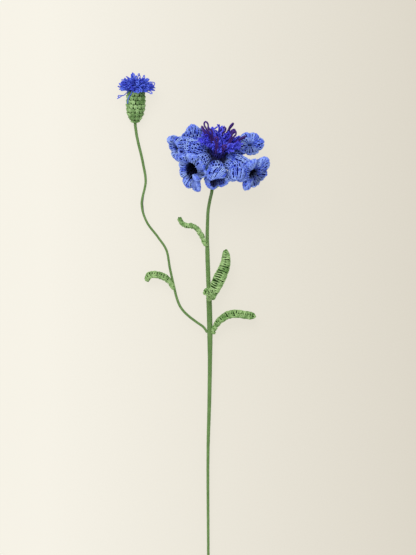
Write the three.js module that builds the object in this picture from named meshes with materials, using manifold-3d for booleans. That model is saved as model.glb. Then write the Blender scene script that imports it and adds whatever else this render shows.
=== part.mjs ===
// A crocheted cornflower on a wire stem, lying on a table: one open flower, a bud on a side stem and five
// leaves. Millimetres, +Z up. The table is the plane Z = 0, and the stem runs along +Y from its cut end.
import * as THREE from 'three';
import { LoftGeometry } from 'three/addons/geometries/LoftGeometry.js';
import { mergeVertices } from 'three/addons/utils/BufferGeometryUtils.js';
import Module from 'manifold-3d';

const wasm = await Module();
wasm.setup();

const fullTurn = 2 * Math.PI;
const radians = THREE.MathUtils.degToRad;
const vec = (x, y, z) => new THREE.Vector3(x, y, z);

// ---- Driving dimensions ----

// Moves the whole piece from the axes used below, so that the origin is under its middle.
const toMiddle = vec(1.9, 1.9, 0);

const clearance = 0.3;

const flowerHead = {
  centre: vec(13.6, 140.3, 28.2),
  lean: 13, // degrees to the right of +Y
  rise: 27, // degrees up from the table
  calyxLean: 8, // the calyx and the stem in it lean less than the florets' ring
  coreRadius: 4.4,
  coreFlange: 5.2,
  coreTop: 4.6,
  coreBottom: -2,
  wireTop: 1.5, // how far the wire reaches into the core, above the head's centre
  calyxTop: -1.6,
  calyxMouth: 5.9,
  calyxBottom: -21,
  calyxWall: 1.4,
};

const bud = {
  base: vec(-41.4, 166.2, 5.9),
  lean: 2.6,
  rise: 10,
  calyxLength: 20.5,
  calyxMouth: 5.3,
  calyxWall: 1.3,
  wireTop: 10, // how far the wire reaches into the bud, from its base
};

const mainWire = { radius: 0.55, bore: 0.82, pastCut: 2.5, sides: 6, wrapSides: 8, steps: 22 };
const sideWire = { radius: 0.32, bore: 0.58, sides: 6, wrapSides: 6, steps: 26 };
const leafWire = { radius: 0.25, bore: 0.5, sides: 5 };

// Radius of the yarn that wraps a stem, as [Y, radius].
const mainWrapRadii = [
  [-200, 1.1], [-60, 1.15], [-20, 1.45], [5, 1.6], [16, 1.85], [24, 1.95],
  [46, 2], [54, 1.6], [78, 1.6], [86, 1.35], [100, 1.25], [122, 1.2],
];
const sideWrapRadii = [[20, 0.9], [40, 0.95], [58, 0.95], [75, 0.88], [110, 0.85], [140, 1], [168, 1.1]];

// One row a floret: the angle round the head where it is rooted and how far its tube lifts there, the middle of
// its mouth, the way that faces, the way of 0 degrees round it, its two radii, how long its rim is between the
// lobes (to the length of a lobe), and its lobes as [angle, length, lean out at the start, lean out at the end].
const floretRows = [
  {
    root: 36, lift: 0, mouth: vec(35.3, 148.9, 23), faces: vec(0.25, 0.1, 0.95),
    zero: vec(1, 0, 0), radii: [2.2, 1.8], notch: 0.55,
    lobes: [
      [18, 8.8, 45, 75], [68, 8.2, 30, 70], [120, 8.4, 30, 75], [205, 7.6, 40, 75],
      [285, 5.2, 30, 75],
    ],
  },
  {
    root: -9, lift: 30, mouth: vec(36.9, 130.2, 35), faces: vec(0.2, -0.42, 0.88),
    zero: vec(1, 0, 0), radii: [4.5, 4.4], notch: 0.3,
    lobes: [
      [48, 11.4, 58, 80], [98, 9.4, 40, 46], [146, 3.6, 10, 40], [190, 2.6, 5, 20],
      [238, 8.6, 34, 68], [290, 5.5, 20, 60], [338, 5, 30, 60],
    ],
  },
  {
    root: -51, lift: -35, mouth: vec(27.1, 131.9, 40), faces: vec(-0.05, -0.88, 0.44),
    zero: vec(1, 0, 0), radii: [3.7, 2.6], notch: 0.5,
    lobes: [
      [86, 9.4, 30, -25], [218, 6.5, 4, 0], [322, 7, 14, 0],
    ],
  },
  {
    root: -93, lift: -35, mouth: vec(13.6, 131.7, 41), faces: vec(0.05, -0.87, 0.47),
    zero: vec(1, 0, 0), radii: [4.4, 2.9], notch: 0.55,
    lobes: [
      [97, 8.6, 34, -25], [240, 11.4, 22, 5], [306, 9.2, 27, 16],
    ],
  },
  {
    root: -136, lift: 0, mouth: vec(-2.3, 132, 40), faces: vec(-0.34, -0.3, 0.89),
    zero: vec(1, 0, 0), radii: [5.4, 7.2], notch: 0.15,
    lobes: [
      [24, 6, 25, 65], [82, 8, 22, 50], [138, 7, 30, 70], [162, 4, 30, 60], [193, 3.4, 25, 60],
      [247, 5.4, 25, 65], [305, 9.8, 35, 60], [328, 6.5, 8, -42], [354, 6.5, 40, 80],
    ],
  },
  {
    root: 180, lift: 0, mouth: vec(-11.3, 147.3, 28), faces: vec(-0.9, -0.28, 0.36),
    zero: vec(0, 1, 0), radii: [6, 5], notch: 0.3,
    lobes: [
      [20, 6, 10, 20], [75, 4.2, 8, 30], [125, 4.2, 8, 30], [180, 3.6, 8, 20], [238, 2.4, 5, 5],
      [300, 2.4, 5, 5],
    ],
  },
  {
    root: 134, lift: 0, mouth: vec(-1.7, 154.1, 14), faces: vec(-0.15, 0.93, -0.1),
    zero: vec(1, 0, 0), radii: [5.3, 4.4], notch: 0.3,
    lobes: [
      [5, 5, 8, 40], [60, 5, 8, 40], [120, 5, 8, 40], [175, 3.4, 8, 30], [270, 8.6, 12, -10],
    ],
  },
  {
    root: 85, lift: 0, mouth: vec(18.4, 149.7, 8.8), faces: vec(0.25, 0.6, -0.75),
    zero: vec(1, 0, 0), radii: [4.6, 4.6], notch: 0.3,
    lobes: [
      [0, 4, 8, 60], [60, 4, 8, 60], [120, 4, 8, 60], [180, 4, 8, 60], [240, 4, 8, 60],
      [300, 4, 8, 60],
    ],
  },
];
const floret = {
  rootRadius: 1.5,
  rootClearance: 0.55, // from the core to the middle of the root's sloping end
  rootHeight: 1.2,
  opening: [[0, 0], [0.15, 0.15], [0.4, 0.55], [0.7, 0.87], [1, 1]], // how far the tube has opened, along it
  halfWall: 0.6, // half the thickness of the fabric in the tube
  puff: 1.1, // what half the thickness gains in a lobe
  tip: 0.45, // half the thickness at the tip of a lobe
};

// One row a stamen: the angle where it is rooted, where the tip of its loop is, as [angle, distance from the
// axis, height], and how far its loop is turned from lying level.
const stamenRows = [
  { root: 168, tip: [180, 12.6, 23.9], turn: 0 },
  { root: 199, tip: [201, 15, 22.2], turn: 65 },
  { root: 230, tip: [221, 11.2, 22.5], turn: 0 },
  { root: 261, tip: [254, 11.5, 19.7], turn: 0 },
  { root: 297, tip: [286, 13.4, 16.2], turn: 10 },
  { root: 112, tip: [70, 3.5, 21.6], turn: 0 },
  { root: 78, tip: [30, 6.4, 25.9], turn: 70 },
  { root: 42, tip: [345, 7.4, 24], turn: 30 },
  { root: 8, tip: [358, 15.5, 20.4], turn: 75 },
  { root: 325, tip: [323, 10.4, 24.8], turn: 0 },
];
const stamen = {
  rootOut: 4.1,
  rootClearance: 1,
  bow: 1.7, // how far out the middle of a stamen bows, to its root
  strandRadius: 0.42,
  strandsApart: 1.3,
  loopWidth: 2.5,
  loopLength: 5.5,
  room: 0.7, // between a stamen and the tuft
};

// One row a leaf: the way its blade is wide, its half-width at shares of its length, and the line of its midrib
// from root to tip.
const leafRows = [
  {
    name: 'leaf_upper_left',
    across: vec(0.3, 0.35, 0.9),
    halfWidths: [
      [0, 1.1], [0.12, 1.5], [0.25, 1.7], [0.4, 1.8], [0.55, 1.7], [0.7, 1.7], [0.85, 1.4], [0.95, 1.2],
      [1, 1.1],
    ],
    route: [
      [5.35, 85.2, 12.15], [3.7, 88.8, 12.6], [1.9, 91.8, 12.9], [0.1, 93.9, 13], [-2.3, 95.4, 13],
      [-5.4, 95.6, 13], [-8.3, 96.3, 13], [-10.5, 98.7, 12.8], [-12, 101.4, 12.4],
    ],
  },
  {
    name: 'leaf_upper_right',
    across: vec(1, -0.35, 0.1),
    halfWidths: [
      [0, 1.1], [0.12, 3.1], [0.25, 3.9], [0.4, 4], [0.55, 3.6], [0.7, 3.2], [0.85, 2.5], [0.95, 1.7],
      [1, 1.1],
    ],
    route: [
      [11.6, 48.8, 10.7], [12.45, 52, 11.6], [13.6, 55.6, 12.2], [15.8, 60.4, 12.8], [18.1, 65.3, 13],
      [19.7, 70.1, 13], [20.1, 74.9, 12.6], [19.8, 79.7, 12],
    ],
  },
  {
    name: 'leaf_front',
    across: vec(0.4, 0.9, 0),
    halfWidths: [
      [0, 1.1], [0.12, 1.6], [0.25, 1.9], [0.4, 2.1], [0.55, 2.3], [0.7, 2.3], [0.85, 2.2], [0.95, 1.8],
      [1, 1.5],
    ],
    route: [
      [8.6, 46.5, 11.3], [8.9, 47, 17], [10, 48.4, 23], [10.8, 50, 27.5], [9.6, 50.9, 30.3],
      [7, 51.1, 31], [5.3, 50.6, 29.6],
    ],
  },
  {
    name: 'leaf_lower_right',
    across: vec(-0.15, -0.8, 0.6),
    halfWidths: [
      [0, 1.1], [0.12, 2.2], [0.25, 2.6], [0.4, 2.7], [0.55, 2.8], [0.7, 2.7], [0.85, 2.5], [0.95, 2],
      [1, 1.3],
    ],
    route: [
      [12.4, 26.5, 9.3], [15.2, 30.9, 10.2], [18.1, 33.3, 10.6], [21.2, 35.1, 10.8], [24.8, 36, 10.8],
      [28.4, 36, 10.6], [32.7, 35.4, 10], [36.8, 34.8, 9], [40.2, 34.6, 8],
    ],
  },
  {
    name: 'leaf_side_stem',
    across: vec(0.1, -0.75, 0.65),
    halfWidths: [
      [0, 1.1], [0.12, 2.1], [0.25, 2.3], [0.4, 2.3], [0.55, 2.4], [0.7, 2.3], [0.85, 2.2], [0.95, 1.8],
      [1, 1.4],
    ],
    route: [
      [-17.75, 57.6, 9.15], [-18.6, 58.7, 9.3], [-21.1, 60.8, 9.5], [-24.1, 62, 9.5], [-27.1, 62.6, 9.4],
      [-30.1, 62.7, 9], [-32.4, 61.6, 8.4], [-33.6, 58.4, 7.4],
    ],
  },
];
const leaf = { thickness: 2.2, steps: 11, sides: 8, wireShare: 0.8 };

// ---- Yarn and wire ----

const yarn = (color) => new THREE.MeshStandardMaterial({ color, roughness: 0.9, metalness: 0 });
const finish = {
  leafGreen: yarn(0x6f9a58),
  stemGreen: yarn(0x62894d),
  calyxGreen: yarn(0x78a262),
  skyBlue: yarn(0x5a86dc),
  royalBlue: yarn(0x2f2fc0),
  budBlue: yarn(0x3f5fd2),
  plum: yarn(0x3d1f66),
  filling: yarn(0xe9e6df),
  wire: new THREE.MeshStandardMaterial({ color: 0x8b8f92, roughness: 0.35, metalness: 1 }),
};

// ---- Building blocks ----

// Evenly spaced numbers from low to high, both ends included.
function spread(low, high, count) {
  return Array.from({ length: count }, (_, i) => low + ((high - low) * i) / (count - 1));
}

// The value at x on a line through [x, value] rows.
function along(rows, x) {
  const after = rows.findIndex((row) => row[0] >= x);
  if (after === 0) return rows[0][1];
  if (after < 0) return rows.at(-1)[1];
  const [x0, low] = rows[after - 1];
  const [x1, high] = rows[after];
  return THREE.MathUtils.mapLinear(x, x0, x1, low, high);
}

// A place on a curve with its own axes: across is as near as it can be to the hint, and up is square to both.
function station(curve, u, hint) {
  const tangent = curve.getTangentAt(u);
  const across = hint.clone().addScaledVector(tangent, -hint.dot(tangent)).normalize();
  return { at: curve.getPointAt(u), across, up: tangent.clone().cross(across) };
}

// A closed section at a station. outline(angle) gives its [across, up] distances.
function section(place, sides, outline) {
  return spread(0, fullTurn, sides + 1).slice(0, sides).map((angle) => {
    const [across, up] = outline(angle);
    return place.at.clone().addScaledVector(place.across, across).addScaledVector(place.up, up);
  });
}

const circle = (radius) => (angle) => [radius * Math.cos(angle), radius * Math.sin(angle)];
const moved = (ring, way, distance) => ring.map((point) => point.clone().addScaledVector(way, distance));
const capped = (rings) => new LoftGeometry(rings, { capStart: true, capEnd: true });

// A solid rod along a curve.
function rod(curve, stops, radius, sides, hint) {
  return capped(stops.map((u) => section(station(curve, u, hint), sides, circle(radius))));
}

// A tube along a curve, open at both ends, whose outside radius follows the rows.
function sleeve(curve, stops, radiusRows, bore, sides, hint) {
  const places = stops.map((u) => station(curve, u, hint));
  const outer = places.map((place) => section(place, sides, circle(along(radiusRows, place.at.y))));
  const inner = places.map((place) => section(place, sides, circle(bore))).reverse();
  return new LoftGeometry([...outer, ...inner, outer[0]]);
}

// A solid of revolution about Z from [radius, height] points, listed from the bottom up round the outside.
function turned(points, segments) {
  const profile = points.map(([radius, height]) => new THREE.Vector2(radius, height));
  return new THREE.LatheGeometry(profile, segments).rotateX(Math.PI / 2);
}

function piece(name, geometry, material) {
  const mesh = new THREE.Mesh(geometry, material);
  mesh.name = name;
  return mesh;
}

function solidOf(geometry) {
  const bare = new THREE.BufferGeometry()
    .setAttribute('position', geometry.getAttribute('position'))
    .setIndex(geometry.index);
  const merged = mergeVertices(bare, 1e-3);
  return new wasm.Manifold(new wasm.Mesh({
    numProp: 3,
    vertProperties: merged.attributes.position.array,
    triVerts: new Uint32Array(merged.index.array),
  }));
}

function geometryOf(solid) {
  const { vertProperties, triVerts } = solid.getMesh();
  return new THREE.BufferGeometry()
    .setAttribute('position', new THREE.BufferAttribute(vertProperties, 3))
    .setIndex(new THREE.BufferAttribute(triVerts, 1));
}

// A loft through the outer sections, less a hollow through the inner ones, which run out past its open end.
function hollowed(outer, inner) {
  return geometryOf(solidOf(capped(outer)).subtract(solidOf(capped(inner))));
}

// A group whose +Z is an axis that leans right of +Y and rises from the table.
function tiltedGroup({ at, lean, rise }) {
  const group = new THREE.Group();
  group.position.copy(at);
  group.rotation.set(radians(rise - 90), 0, radians(-lean), 'ZYX');
  group.updateMatrixWorld(true);
  return group;
}

const head = tiltedGroup({ at: flowerHead.centre, lean: flowerHead.lean, rise: flowerHead.rise });
const calyxGroup = tiltedGroup({ at: flowerHead.centre, lean: flowerHead.calyxLean, rise: flowerHead.rise });
const budGroup = tiltedGroup({ at: bud.base, lean: bud.lean, rise: bud.rise });
const onCalyxAxis = (height) => calyxGroup.localToWorld(vec(0, 0, height));
const onBudAxis = (height) => budGroup.localToWorld(vec(0, 0, height));

// ---- Stems ----

const mainRoute = new THREE.CatmullRomCurve3([
  vec(8.2, -200 - mainWire.pastCut, 1.1), vec(8.2, -185, 1.5), vec(8.2, -128, 3.4), vec(8, -60, 5.4),
  vec(8.9, -22, 6.6), vec(9.3, 10, 7.6), vec(9, 36, 8.5), vec(8.2, 60, 9.4), vec(7.5, 84, 10.4),
  vec(7.7, 97.5, 11.4), vec(8.1, 106, 12.6), vec(9.3, 112.8, 14.6), onCalyxAxis(-26), onCalyxAxis(-21),
  onCalyxAxis(-10), onCalyxAxis(flowerHead.wireTop),
]);

const sideRoute = new THREE.CatmullRomCurve3([
  vec(6.2, 26.2, 8.5), vec(3.2, 28.4, 8.6), vec(0.6, 30.3, 8.7), vec(-4.2, 33.9, 8.8), vec(-8.2, 37.6, 8.7),
  vec(-10.8, 41.1, 8.6), vec(-13.1, 46.8, 8.2), vec(-15.1, 54.9, 8), vec(-17.8, 67.2, 7.8),
  vec(-20.2, 79.4, 7.6), vec(-26, 88.2, 7.4), vec(-33.5, 98.4, 7.2), vec(-36.1, 110, 7), vec(-34.2, 125.6, 6.6),
  vec(-36.2, 139, 5.8), vec(-40.2, 156.5, 5.4), onBudAxis(0), onBudAxis(5), onBudAxis(bud.wireTop),
]);

// A stem's wire, and the yarn wrapped round all of it but its two bare ends. Both have the same stations, so
// the gap between them stays even round each bend.
function stemPieces(name, route, wire, bareStart, bareEnd, wrapRadii, hint) {
  const length = route.getLength();
  const wrapped = spread(bareStart / length, 1 - bareEnd / length, wire.steps);
  const whole = [...(bareStart > 0 ? [0] : []), ...wrapped, 1];
  return [
    piece(`${name}_wire`, rod(route, whole, wire.radius, wire.sides, hint), finish.wire),
    piece(
      `${name}_wrap`,
      sleeve(route, wrapped, wrapRadii, wire.bore, wire.wrapSides, hint),
      finish.stemGreen,
    ),
  ];
}

const inFlower = flowerHead.wireTop - flowerHead.calyxBottom + clearance;
const inBud = bud.wireTop + 1.5 * clearance;
const stems = [
  ...stemPieces('main_stem', mainRoute, mainWire, mainWire.pastCut, inFlower, mainWrapRadii, vec(1, 0, 0)),
  ...stemPieces('side_stem', sideRoute, sideWire, 0, inBud, sideWrapRadii, vec(0, 0, 1)),
];

// ---- Leaves ----

// A leaf is a thick blade crocheted over a fine wire, which lies in a blind hole from the root.
function leafPieces(row) {
  const route = new THREE.CatmullRomCurve3(row.route.map((point) => vec(...point)));
  const places = spread(0, 1, leaf.steps).map((u) => ({ u, ...station(route, u, row.across) }));
  const outer = places.map((place) => section(place, leaf.sides, (angle) => [
    along(row.halfWidths, place.u) * Math.cos(angle),
    (leaf.thickness / 2) * Math.sin(angle),
  ]));
  const wired = places.filter((place) => place.u < leaf.wireShare);
  const hole = wired.map((place) => section(place, leaf.sides, circle(leafWire.bore)));
  const pastRoot = moved(hole[0], route.getTangentAt(0), -1);
  const wire = wired.slice(0, -1).map((place) => section(place, leafWire.sides, circle(leafWire.radius)));
  return [
    piece(row.name, hollowed(outer, [pastRoot, ...hole]), finish.leafGreen),
    piece(`${row.name}_wire`, capped(wire), finish.wire),
  ];
}

// ---- Flower head ----

function headBody() {
  const { coreRadius, coreFlange, coreTop, coreBottom, wireTop } = flowerHead;
  const { calyxTop, calyxMouth, calyxBottom, calyxWall } = flowerHead;
  const hole = mainWire.radius + clearance;
  const fill = calyxWall + clearance;
  const neck = calyxMouth - fill - 0.15; // the core leans in the calyx
  const belly = [[4.1, -19.2], [5.5, -15.5], [6.3, -10], [6.4, -5]];
  const inset = (rows, by) => rows.map(([radius, height]) => [radius - by, height]);
  const calyx = [
    [hole, calyxBottom], [2.3, calyxBottom], ...belly, [calyxMouth, calyxTop],
    [calyxMouth - calyxWall, calyxTop], ...inset(belly, calyxWall).reverse(), [hole, -18.4],
    [hole, calyxBottom],
  ];
  const filling = [
    [hole, -17.9], [2.8, -17.9], ...inset(belly.slice(1), fill), [neck, coreBottom - 0.7],
    [hole, coreBottom - 0.7], [hole, -17.9],
  ];
  const core = [
    [hole + 0.2, coreBottom], [neck, coreBottom], [neck, -1.2], [coreRadius, -0.4], [coreRadius, 3.2],
    [coreFlange, 4], [coreFlange, coreTop], [0, coreTop], [0, wireTop + clearance],
    [hole + 0.2, wireTop + clearance], [hole + 0.2, coreBottom],
  ];
  calyxGroup.add(
    piece('flower_calyx', turned(calyx, 16), finish.calyxGreen),
    piece('calyx_stuffing', turned(filling, 12), finish.filling),
  );
  return piece('flower_core', turned(core, 16), finish.royalBlue);
}

const headDirection = (angle, lift) => vec(1, 0, 0)
  .applyAxisAngle(vec(0, -1, 0), radians(lift))
  .applyAxisAngle(vec(0, 0, 1), radians(angle));
const inHead = ([angle, out, height]) => headDirection(angle, 0).multiplyScalar(out).setZ(height);

// The middle line of a floret: out from the core, then bent to the way its mouth faces.
function floretLine(row) {
  const out = flowerHead.coreRadius + floret.rootClearance + floret.rootRadius * Math.abs(Math.sin(radians(row.lift)));
  const rootAt = head.localToWorld(inHead([row.root, out, floret.rootHeight]));
  const outward = headDirection(row.root, row.lift).applyQuaternion(head.quaternion);
  const arm = rootAt.distanceTo(row.mouth) * 0.42;
  return new THREE.CubicBezierCurve3(
    rootAt,
    rootAt.clone().addScaledVector(outward, arm),
    row.mouth.clone().addScaledVector(row.faces.clone().normalize(), -arm),
    row.mouth,
  );
}

// The lines along a floret's fabric, four to a lobe: the angle of each, its length past the mouth, how plump it
// is, and how it leans out from start to end.
function fabricLines(row) {
  const { lobes, notch } = row;
  const lobe = (i) => lobes.at(i % lobes.length);
  const turns = (i) => lobe(i)[0] + 360 * Math.floor(i / lobes.length);
  return lobes.flatMap((_, i) => {
    const between = (turns(i) + turns(i + 1)) / 2;
    const mean = (k) => (lobe(i)[k] + lobe(i + 1)[k]) / 2;
    const mix = (k, share) => THREE.MathUtils.lerp(lobe(i)[k], lobe(i + 1)[k], share);
    const reach = (share) => notch + (1 - notch) * share;
    const line = (angle, share, full) => ({
      angle: radians(angle), length: mix(1, share) * reach(full), full, from: radians(mix(2, share)),
      to: radians(mix(3, share)),
    });
    return [
      line(turns(i), 0, 1),
      line((turns(i) + between) / 2, 0.25, 0.93),
      { ...line(between, 0.5, 0), length: mean(1) * notch },
      line((turns(i + 1) + between) / 2, 0.75, 0.93),
    ];
  });
}

// A floret is a crocheted trumpet: a narrow root at the core, a tube that opens to the mouth, and plump lobes
// that stand out round it. Its rings run up the outside, over the tips of the lobes and back down the inside to
// the small hole left at the root.
function floretPiece(row, index) {
  const { rootRadius, opening, halfWall, puff, tip } = floret;
  const line = floretLine(row);
  const facing = row.faces.clone().normalize();
  const lines = fabricLines(row);
  const tubeRing = (u, side) => {
    const place = station(line, u, row.zero);
    const open = along(opening, u);
    const [wide, high] = row.radii.map((radius) => THREE.MathUtils.lerp(rootRadius, radius + halfWall, open));
    const inset = side > 0 ? 0 : 2 * halfWall;
    return lines.map(({ angle }) => place.at.clone()
      .addScaledVector(place.across, (wide - inset) * Math.cos(angle))
      .addScaledVector(place.up, (high - inset) * Math.sin(angle)));
  };
  const mouth = station(line, 1, row.zero);
  const up = facing.clone().cross(mouth.across);
  const lobeRing = (share, half) => lines.map(({ angle, length, full, from, to }) => {
    const spoke = mouth.across.clone().multiplyScalar(Math.cos(angle)).addScaledVector(up, Math.sin(angle));
    const at = row.mouth.clone()
      .addScaledVector(mouth.across, row.radii[0] * Math.cos(angle))
      .addScaledVector(up, row.radii[1] * Math.sin(angle));
    const step = (length * share) / 8;
    let bend = from;
    for (let i = 0; i < 8; i += 1) {
      bend = from + (to - from) * share * ((i + 0.5) / 8);
      at.addScaledVector(facing, step * Math.cos(bend)).addScaledVector(spoke, step * Math.sin(bend));
    }
    return at.addScaledVector(spoke, half(full) * Math.cos(bend)).addScaledVector(facing, -half(full) * Math.sin(bend));
  });
  const plump = (full) => halfWall * 0.8 + puff * full;
  const rings = [
    ...spread(0, 1, 7).map((u) => tubeRing(u, 1)),
    lobeRing(0.4, plump), lobeRing(0.8, plump), lobeRing(1, () => tip),
    lobeRing(1, () => -tip), lobeRing(0.8, (full) => -plump(full)), lobeRing(0.4, (full) => -plump(full)),
    ...spread(1, 0, 6).map((u) => tubeRing(u, -1)),
  ];
  return piece(`floret_${index + 1}`, new LoftGeometry([...rings, rings[0]]), finish.skyBlue);
}

// The middle line of a stamen, from the core up through the tuft to the tip of its loop.
function stamenShaft(row) {
  const root = inHead([row.root, stamen.rootOut, flowerHead.coreTop + stamen.rootClearance]);
  const tip = inHead(row.tip);
  const bowed = vec(root.x * stamen.bow, root.y * stamen.bow, THREE.MathUtils.lerp(root.z, tip.z, 0.4));
  return new THREE.QuadraticBezierCurve3(root, bowed, tip);
}

// A stamen is a cord folded in two, whose fold is opened into a loop.
function stamenPiece(row, index) {
  const { strandRadius, strandsApart, loopWidth, loopLength } = stamen;
  const shaft = stamenShaft(row);
  const length = shaft.getLength();
  const shaftEnd = shaft.getTangentAt(1);
  const upward = vec(0, 0, 1).applyQuaternion(head.quaternion.clone().invert());
  const sideways = shaftEnd.clone().cross(upward).normalize().applyAxisAngle(shaftEnd, radians(row.turn));
  // [distance back from the tip, distance between the strands]
  const widths = [
    [length, strandsApart], [length * 0.7, strandsApart], [loopLength, strandsApart],
    [loopLength * 0.5, loopWidth], [1, loopWidth * 0.8],
  ];
  const strand = (side) => widths.map(([fromTip, apart]) => shaft
    .getPointAt(1 - fromTip / length)
    .addScaledVector(sideways, (side * apart) / 2));
  const line = new THREE.CatmullRomCurve3([...strand(1), shaft.getPointAt(1), ...strand(-1).reverse()], true);
  const stops = spread(0, 1, 19);
  const frames = line.computeFrenetFrames(stops.length - 1, true);
  const rings = stops.slice(0, -1).map((u, i) => {
    const place = { at: line.getPointAt(u), across: frames.normals[i], up: frames.binormals[i] };
    return section(place, 5, circle(strandRadius));
  });
  const name = `stamen_${String(index + 1).padStart(2, '0')}`;
  return piece(name, new LoftGeometry([...rings, rings[0]]), finish.plum);
}

// The way that a stamen takes through the tuft.
function stamenRoom(row) {
  const { strandRadius, strandsApart, loopWidth, loopLength, room } = stamen;
  const shaft = stamenShaft(row);
  const loopAt = 1 - loopLength / shaft.getLength();
  const stops = [
    [0, strandsApart], [0.35, strandsApart], [loopAt - 0.05, strandsApart], [loopAt + 0.1, loopWidth],
    [1, loopWidth],
  ];
  const rings = stops.map(([u, width]) => {
    const place = station(shaft, u, headDirection(row.tip[0], 0));
    return section(place, 8, circle(width / 2 + strandRadius + room));
  });
  const below = rings[0].map((point) => point.clone().setZ(flowerHead.coreTop - 1));
  const above = moved(rings.at(-1), shaft.getTangentAt(1), 1);
  return capped([below, ...rings, above]);
}

// The shaggy middle: a brush of short yarn ends, with a way through it for each stamen.
function tuftPiece() {
  const base = flowerHead.coreTop + clearance;
  const brush = turned([
    [0, base], [5, base], [8.6, base + 1.7], [12, base + 4], [12.9, base + 6.5], [11, base + 11],
    [7.4, base + 14], [0, base + 15.2],
  ], 16);
  const cut = stamenRows.reduce((solid, row) => solid.subtract(solidOf(stamenRoom(row))), solidOf(brush));
  return piece('centre_tuft', geometryOf(cut), finish.royalBlue);
}

// ---- Bud ----

function budPieces() {
  const { calyxLength: top, calyxMouth, calyxWall, wireTop } = bud;
  const hole = sideWire.radius + clearance;
  const fill = calyxWall + clearance;
  const belly = [[5, 4.8], [5.9, 9.6], [5.9, 14]];
  const inset = (by) => belly.map(([radius, height]) => [radius - by, height]);
  const calyx = [
    [hole, 0], [1.9, 0], [3.6, 1.6], ...belly, [calyxMouth, top], [calyxMouth - calyxWall, top],
    ...inset(calyxWall).reverse(), [2.6, 2.6], [hole, 2.2], [hole, 0],
  ];
  const filling = [
    [hole, 3.1], [2.4, 3.1], ...inset(fill), [calyxMouth - fill, top], [0, top], [0, wireTop + clearance],
    [hole, wireTop + clearance], [hole, 3.1],
  ];
  const base = top + clearance;
  const tuft = [
    [0, base], [5, base], [8.2, base + 1.2], [10.3, base + 3.6], [10.5, base + 6.4], [8.6, base + 9.8],
    [5, base + 11.4], [0, base + 12],
  ];
  return [
    piece('bud_calyx', turned(calyx, 16), finish.calyxGreen),
    piece('bud_stuffing', turned(filling, 12), finish.filling),
    piece('bud_tuft', turned(tuft, 16), finish.budBlue),
  ];
}

// ---- The whole piece ----

head.add(headBody(), ...stamenRows.map(stamenPiece), tuftPiece());
budGroup.add(...budPieces());

const cornflower = new THREE.Group();
cornflower.name = 'crocheted_cornflower';
cornflower.position.copy(toMiddle);
cornflower.add(...stems, ...leafRows.flatMap(leafPieces), calyxGroup, head, ...floretRows.map(floretPiece), budGroup);

export default cornflower;
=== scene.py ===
import math
import random

import bpy
import numpy as np
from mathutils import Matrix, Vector


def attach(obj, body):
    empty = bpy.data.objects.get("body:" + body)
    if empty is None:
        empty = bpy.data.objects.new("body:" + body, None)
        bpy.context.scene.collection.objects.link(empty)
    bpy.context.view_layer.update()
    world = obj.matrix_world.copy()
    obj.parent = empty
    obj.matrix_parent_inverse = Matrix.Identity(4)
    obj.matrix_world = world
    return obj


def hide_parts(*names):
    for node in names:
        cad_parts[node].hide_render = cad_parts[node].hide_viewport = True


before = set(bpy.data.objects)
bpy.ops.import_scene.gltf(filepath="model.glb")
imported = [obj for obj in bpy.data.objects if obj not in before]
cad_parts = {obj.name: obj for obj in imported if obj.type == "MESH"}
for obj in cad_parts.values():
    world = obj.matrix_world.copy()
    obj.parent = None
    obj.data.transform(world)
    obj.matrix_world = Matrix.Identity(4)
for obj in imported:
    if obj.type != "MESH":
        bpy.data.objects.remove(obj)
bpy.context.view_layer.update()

print("frame loaded with", len(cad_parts), "parts")

mm = 0.001
middle = np.array([1.9, 1.9, 0.0])   # the stem routes below are drawn from a point this far off the origin


class Wire:
    # A socket that can stand in a sum: each expression on it adds its maths nodes.
    def __init__(self, maker, socket):
        self.maker, self.socket = maker, socket

    def isVector(self):
        return self.socket.type in ("VECTOR", "RGBA")

    def other(self, name):   # another output of the same node
        return Wire(self.maker, pick(self.socket.node.outputs, name))

    def __add__(self, b): return self.maker.sum("ADD", self, b)
    def __radd__(self, b): return self.maker.sum("ADD", b, self)
    def __sub__(self, b): return self.maker.sum("SUBTRACT", self, b)
    def __rsub__(self, b): return self.maker.sum("SUBTRACT", b, self)
    def __mul__(self, b): return self.maker.sum("MULTIPLY", self, b)
    def __rmul__(self, b): return self.maker.sum("MULTIPLY", b, self)
    def __truediv__(self, b): return self.maker.sum("DIVIDE", self, b)
    def __rtruediv__(self, b): return self.maker.sum("DIVIDE", b, self)


def pick(sockets, key):
    if isinstance(key, int):
        return sockets[key]
    return next(s for s in sockets if s.name == key and s.enabled)


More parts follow.
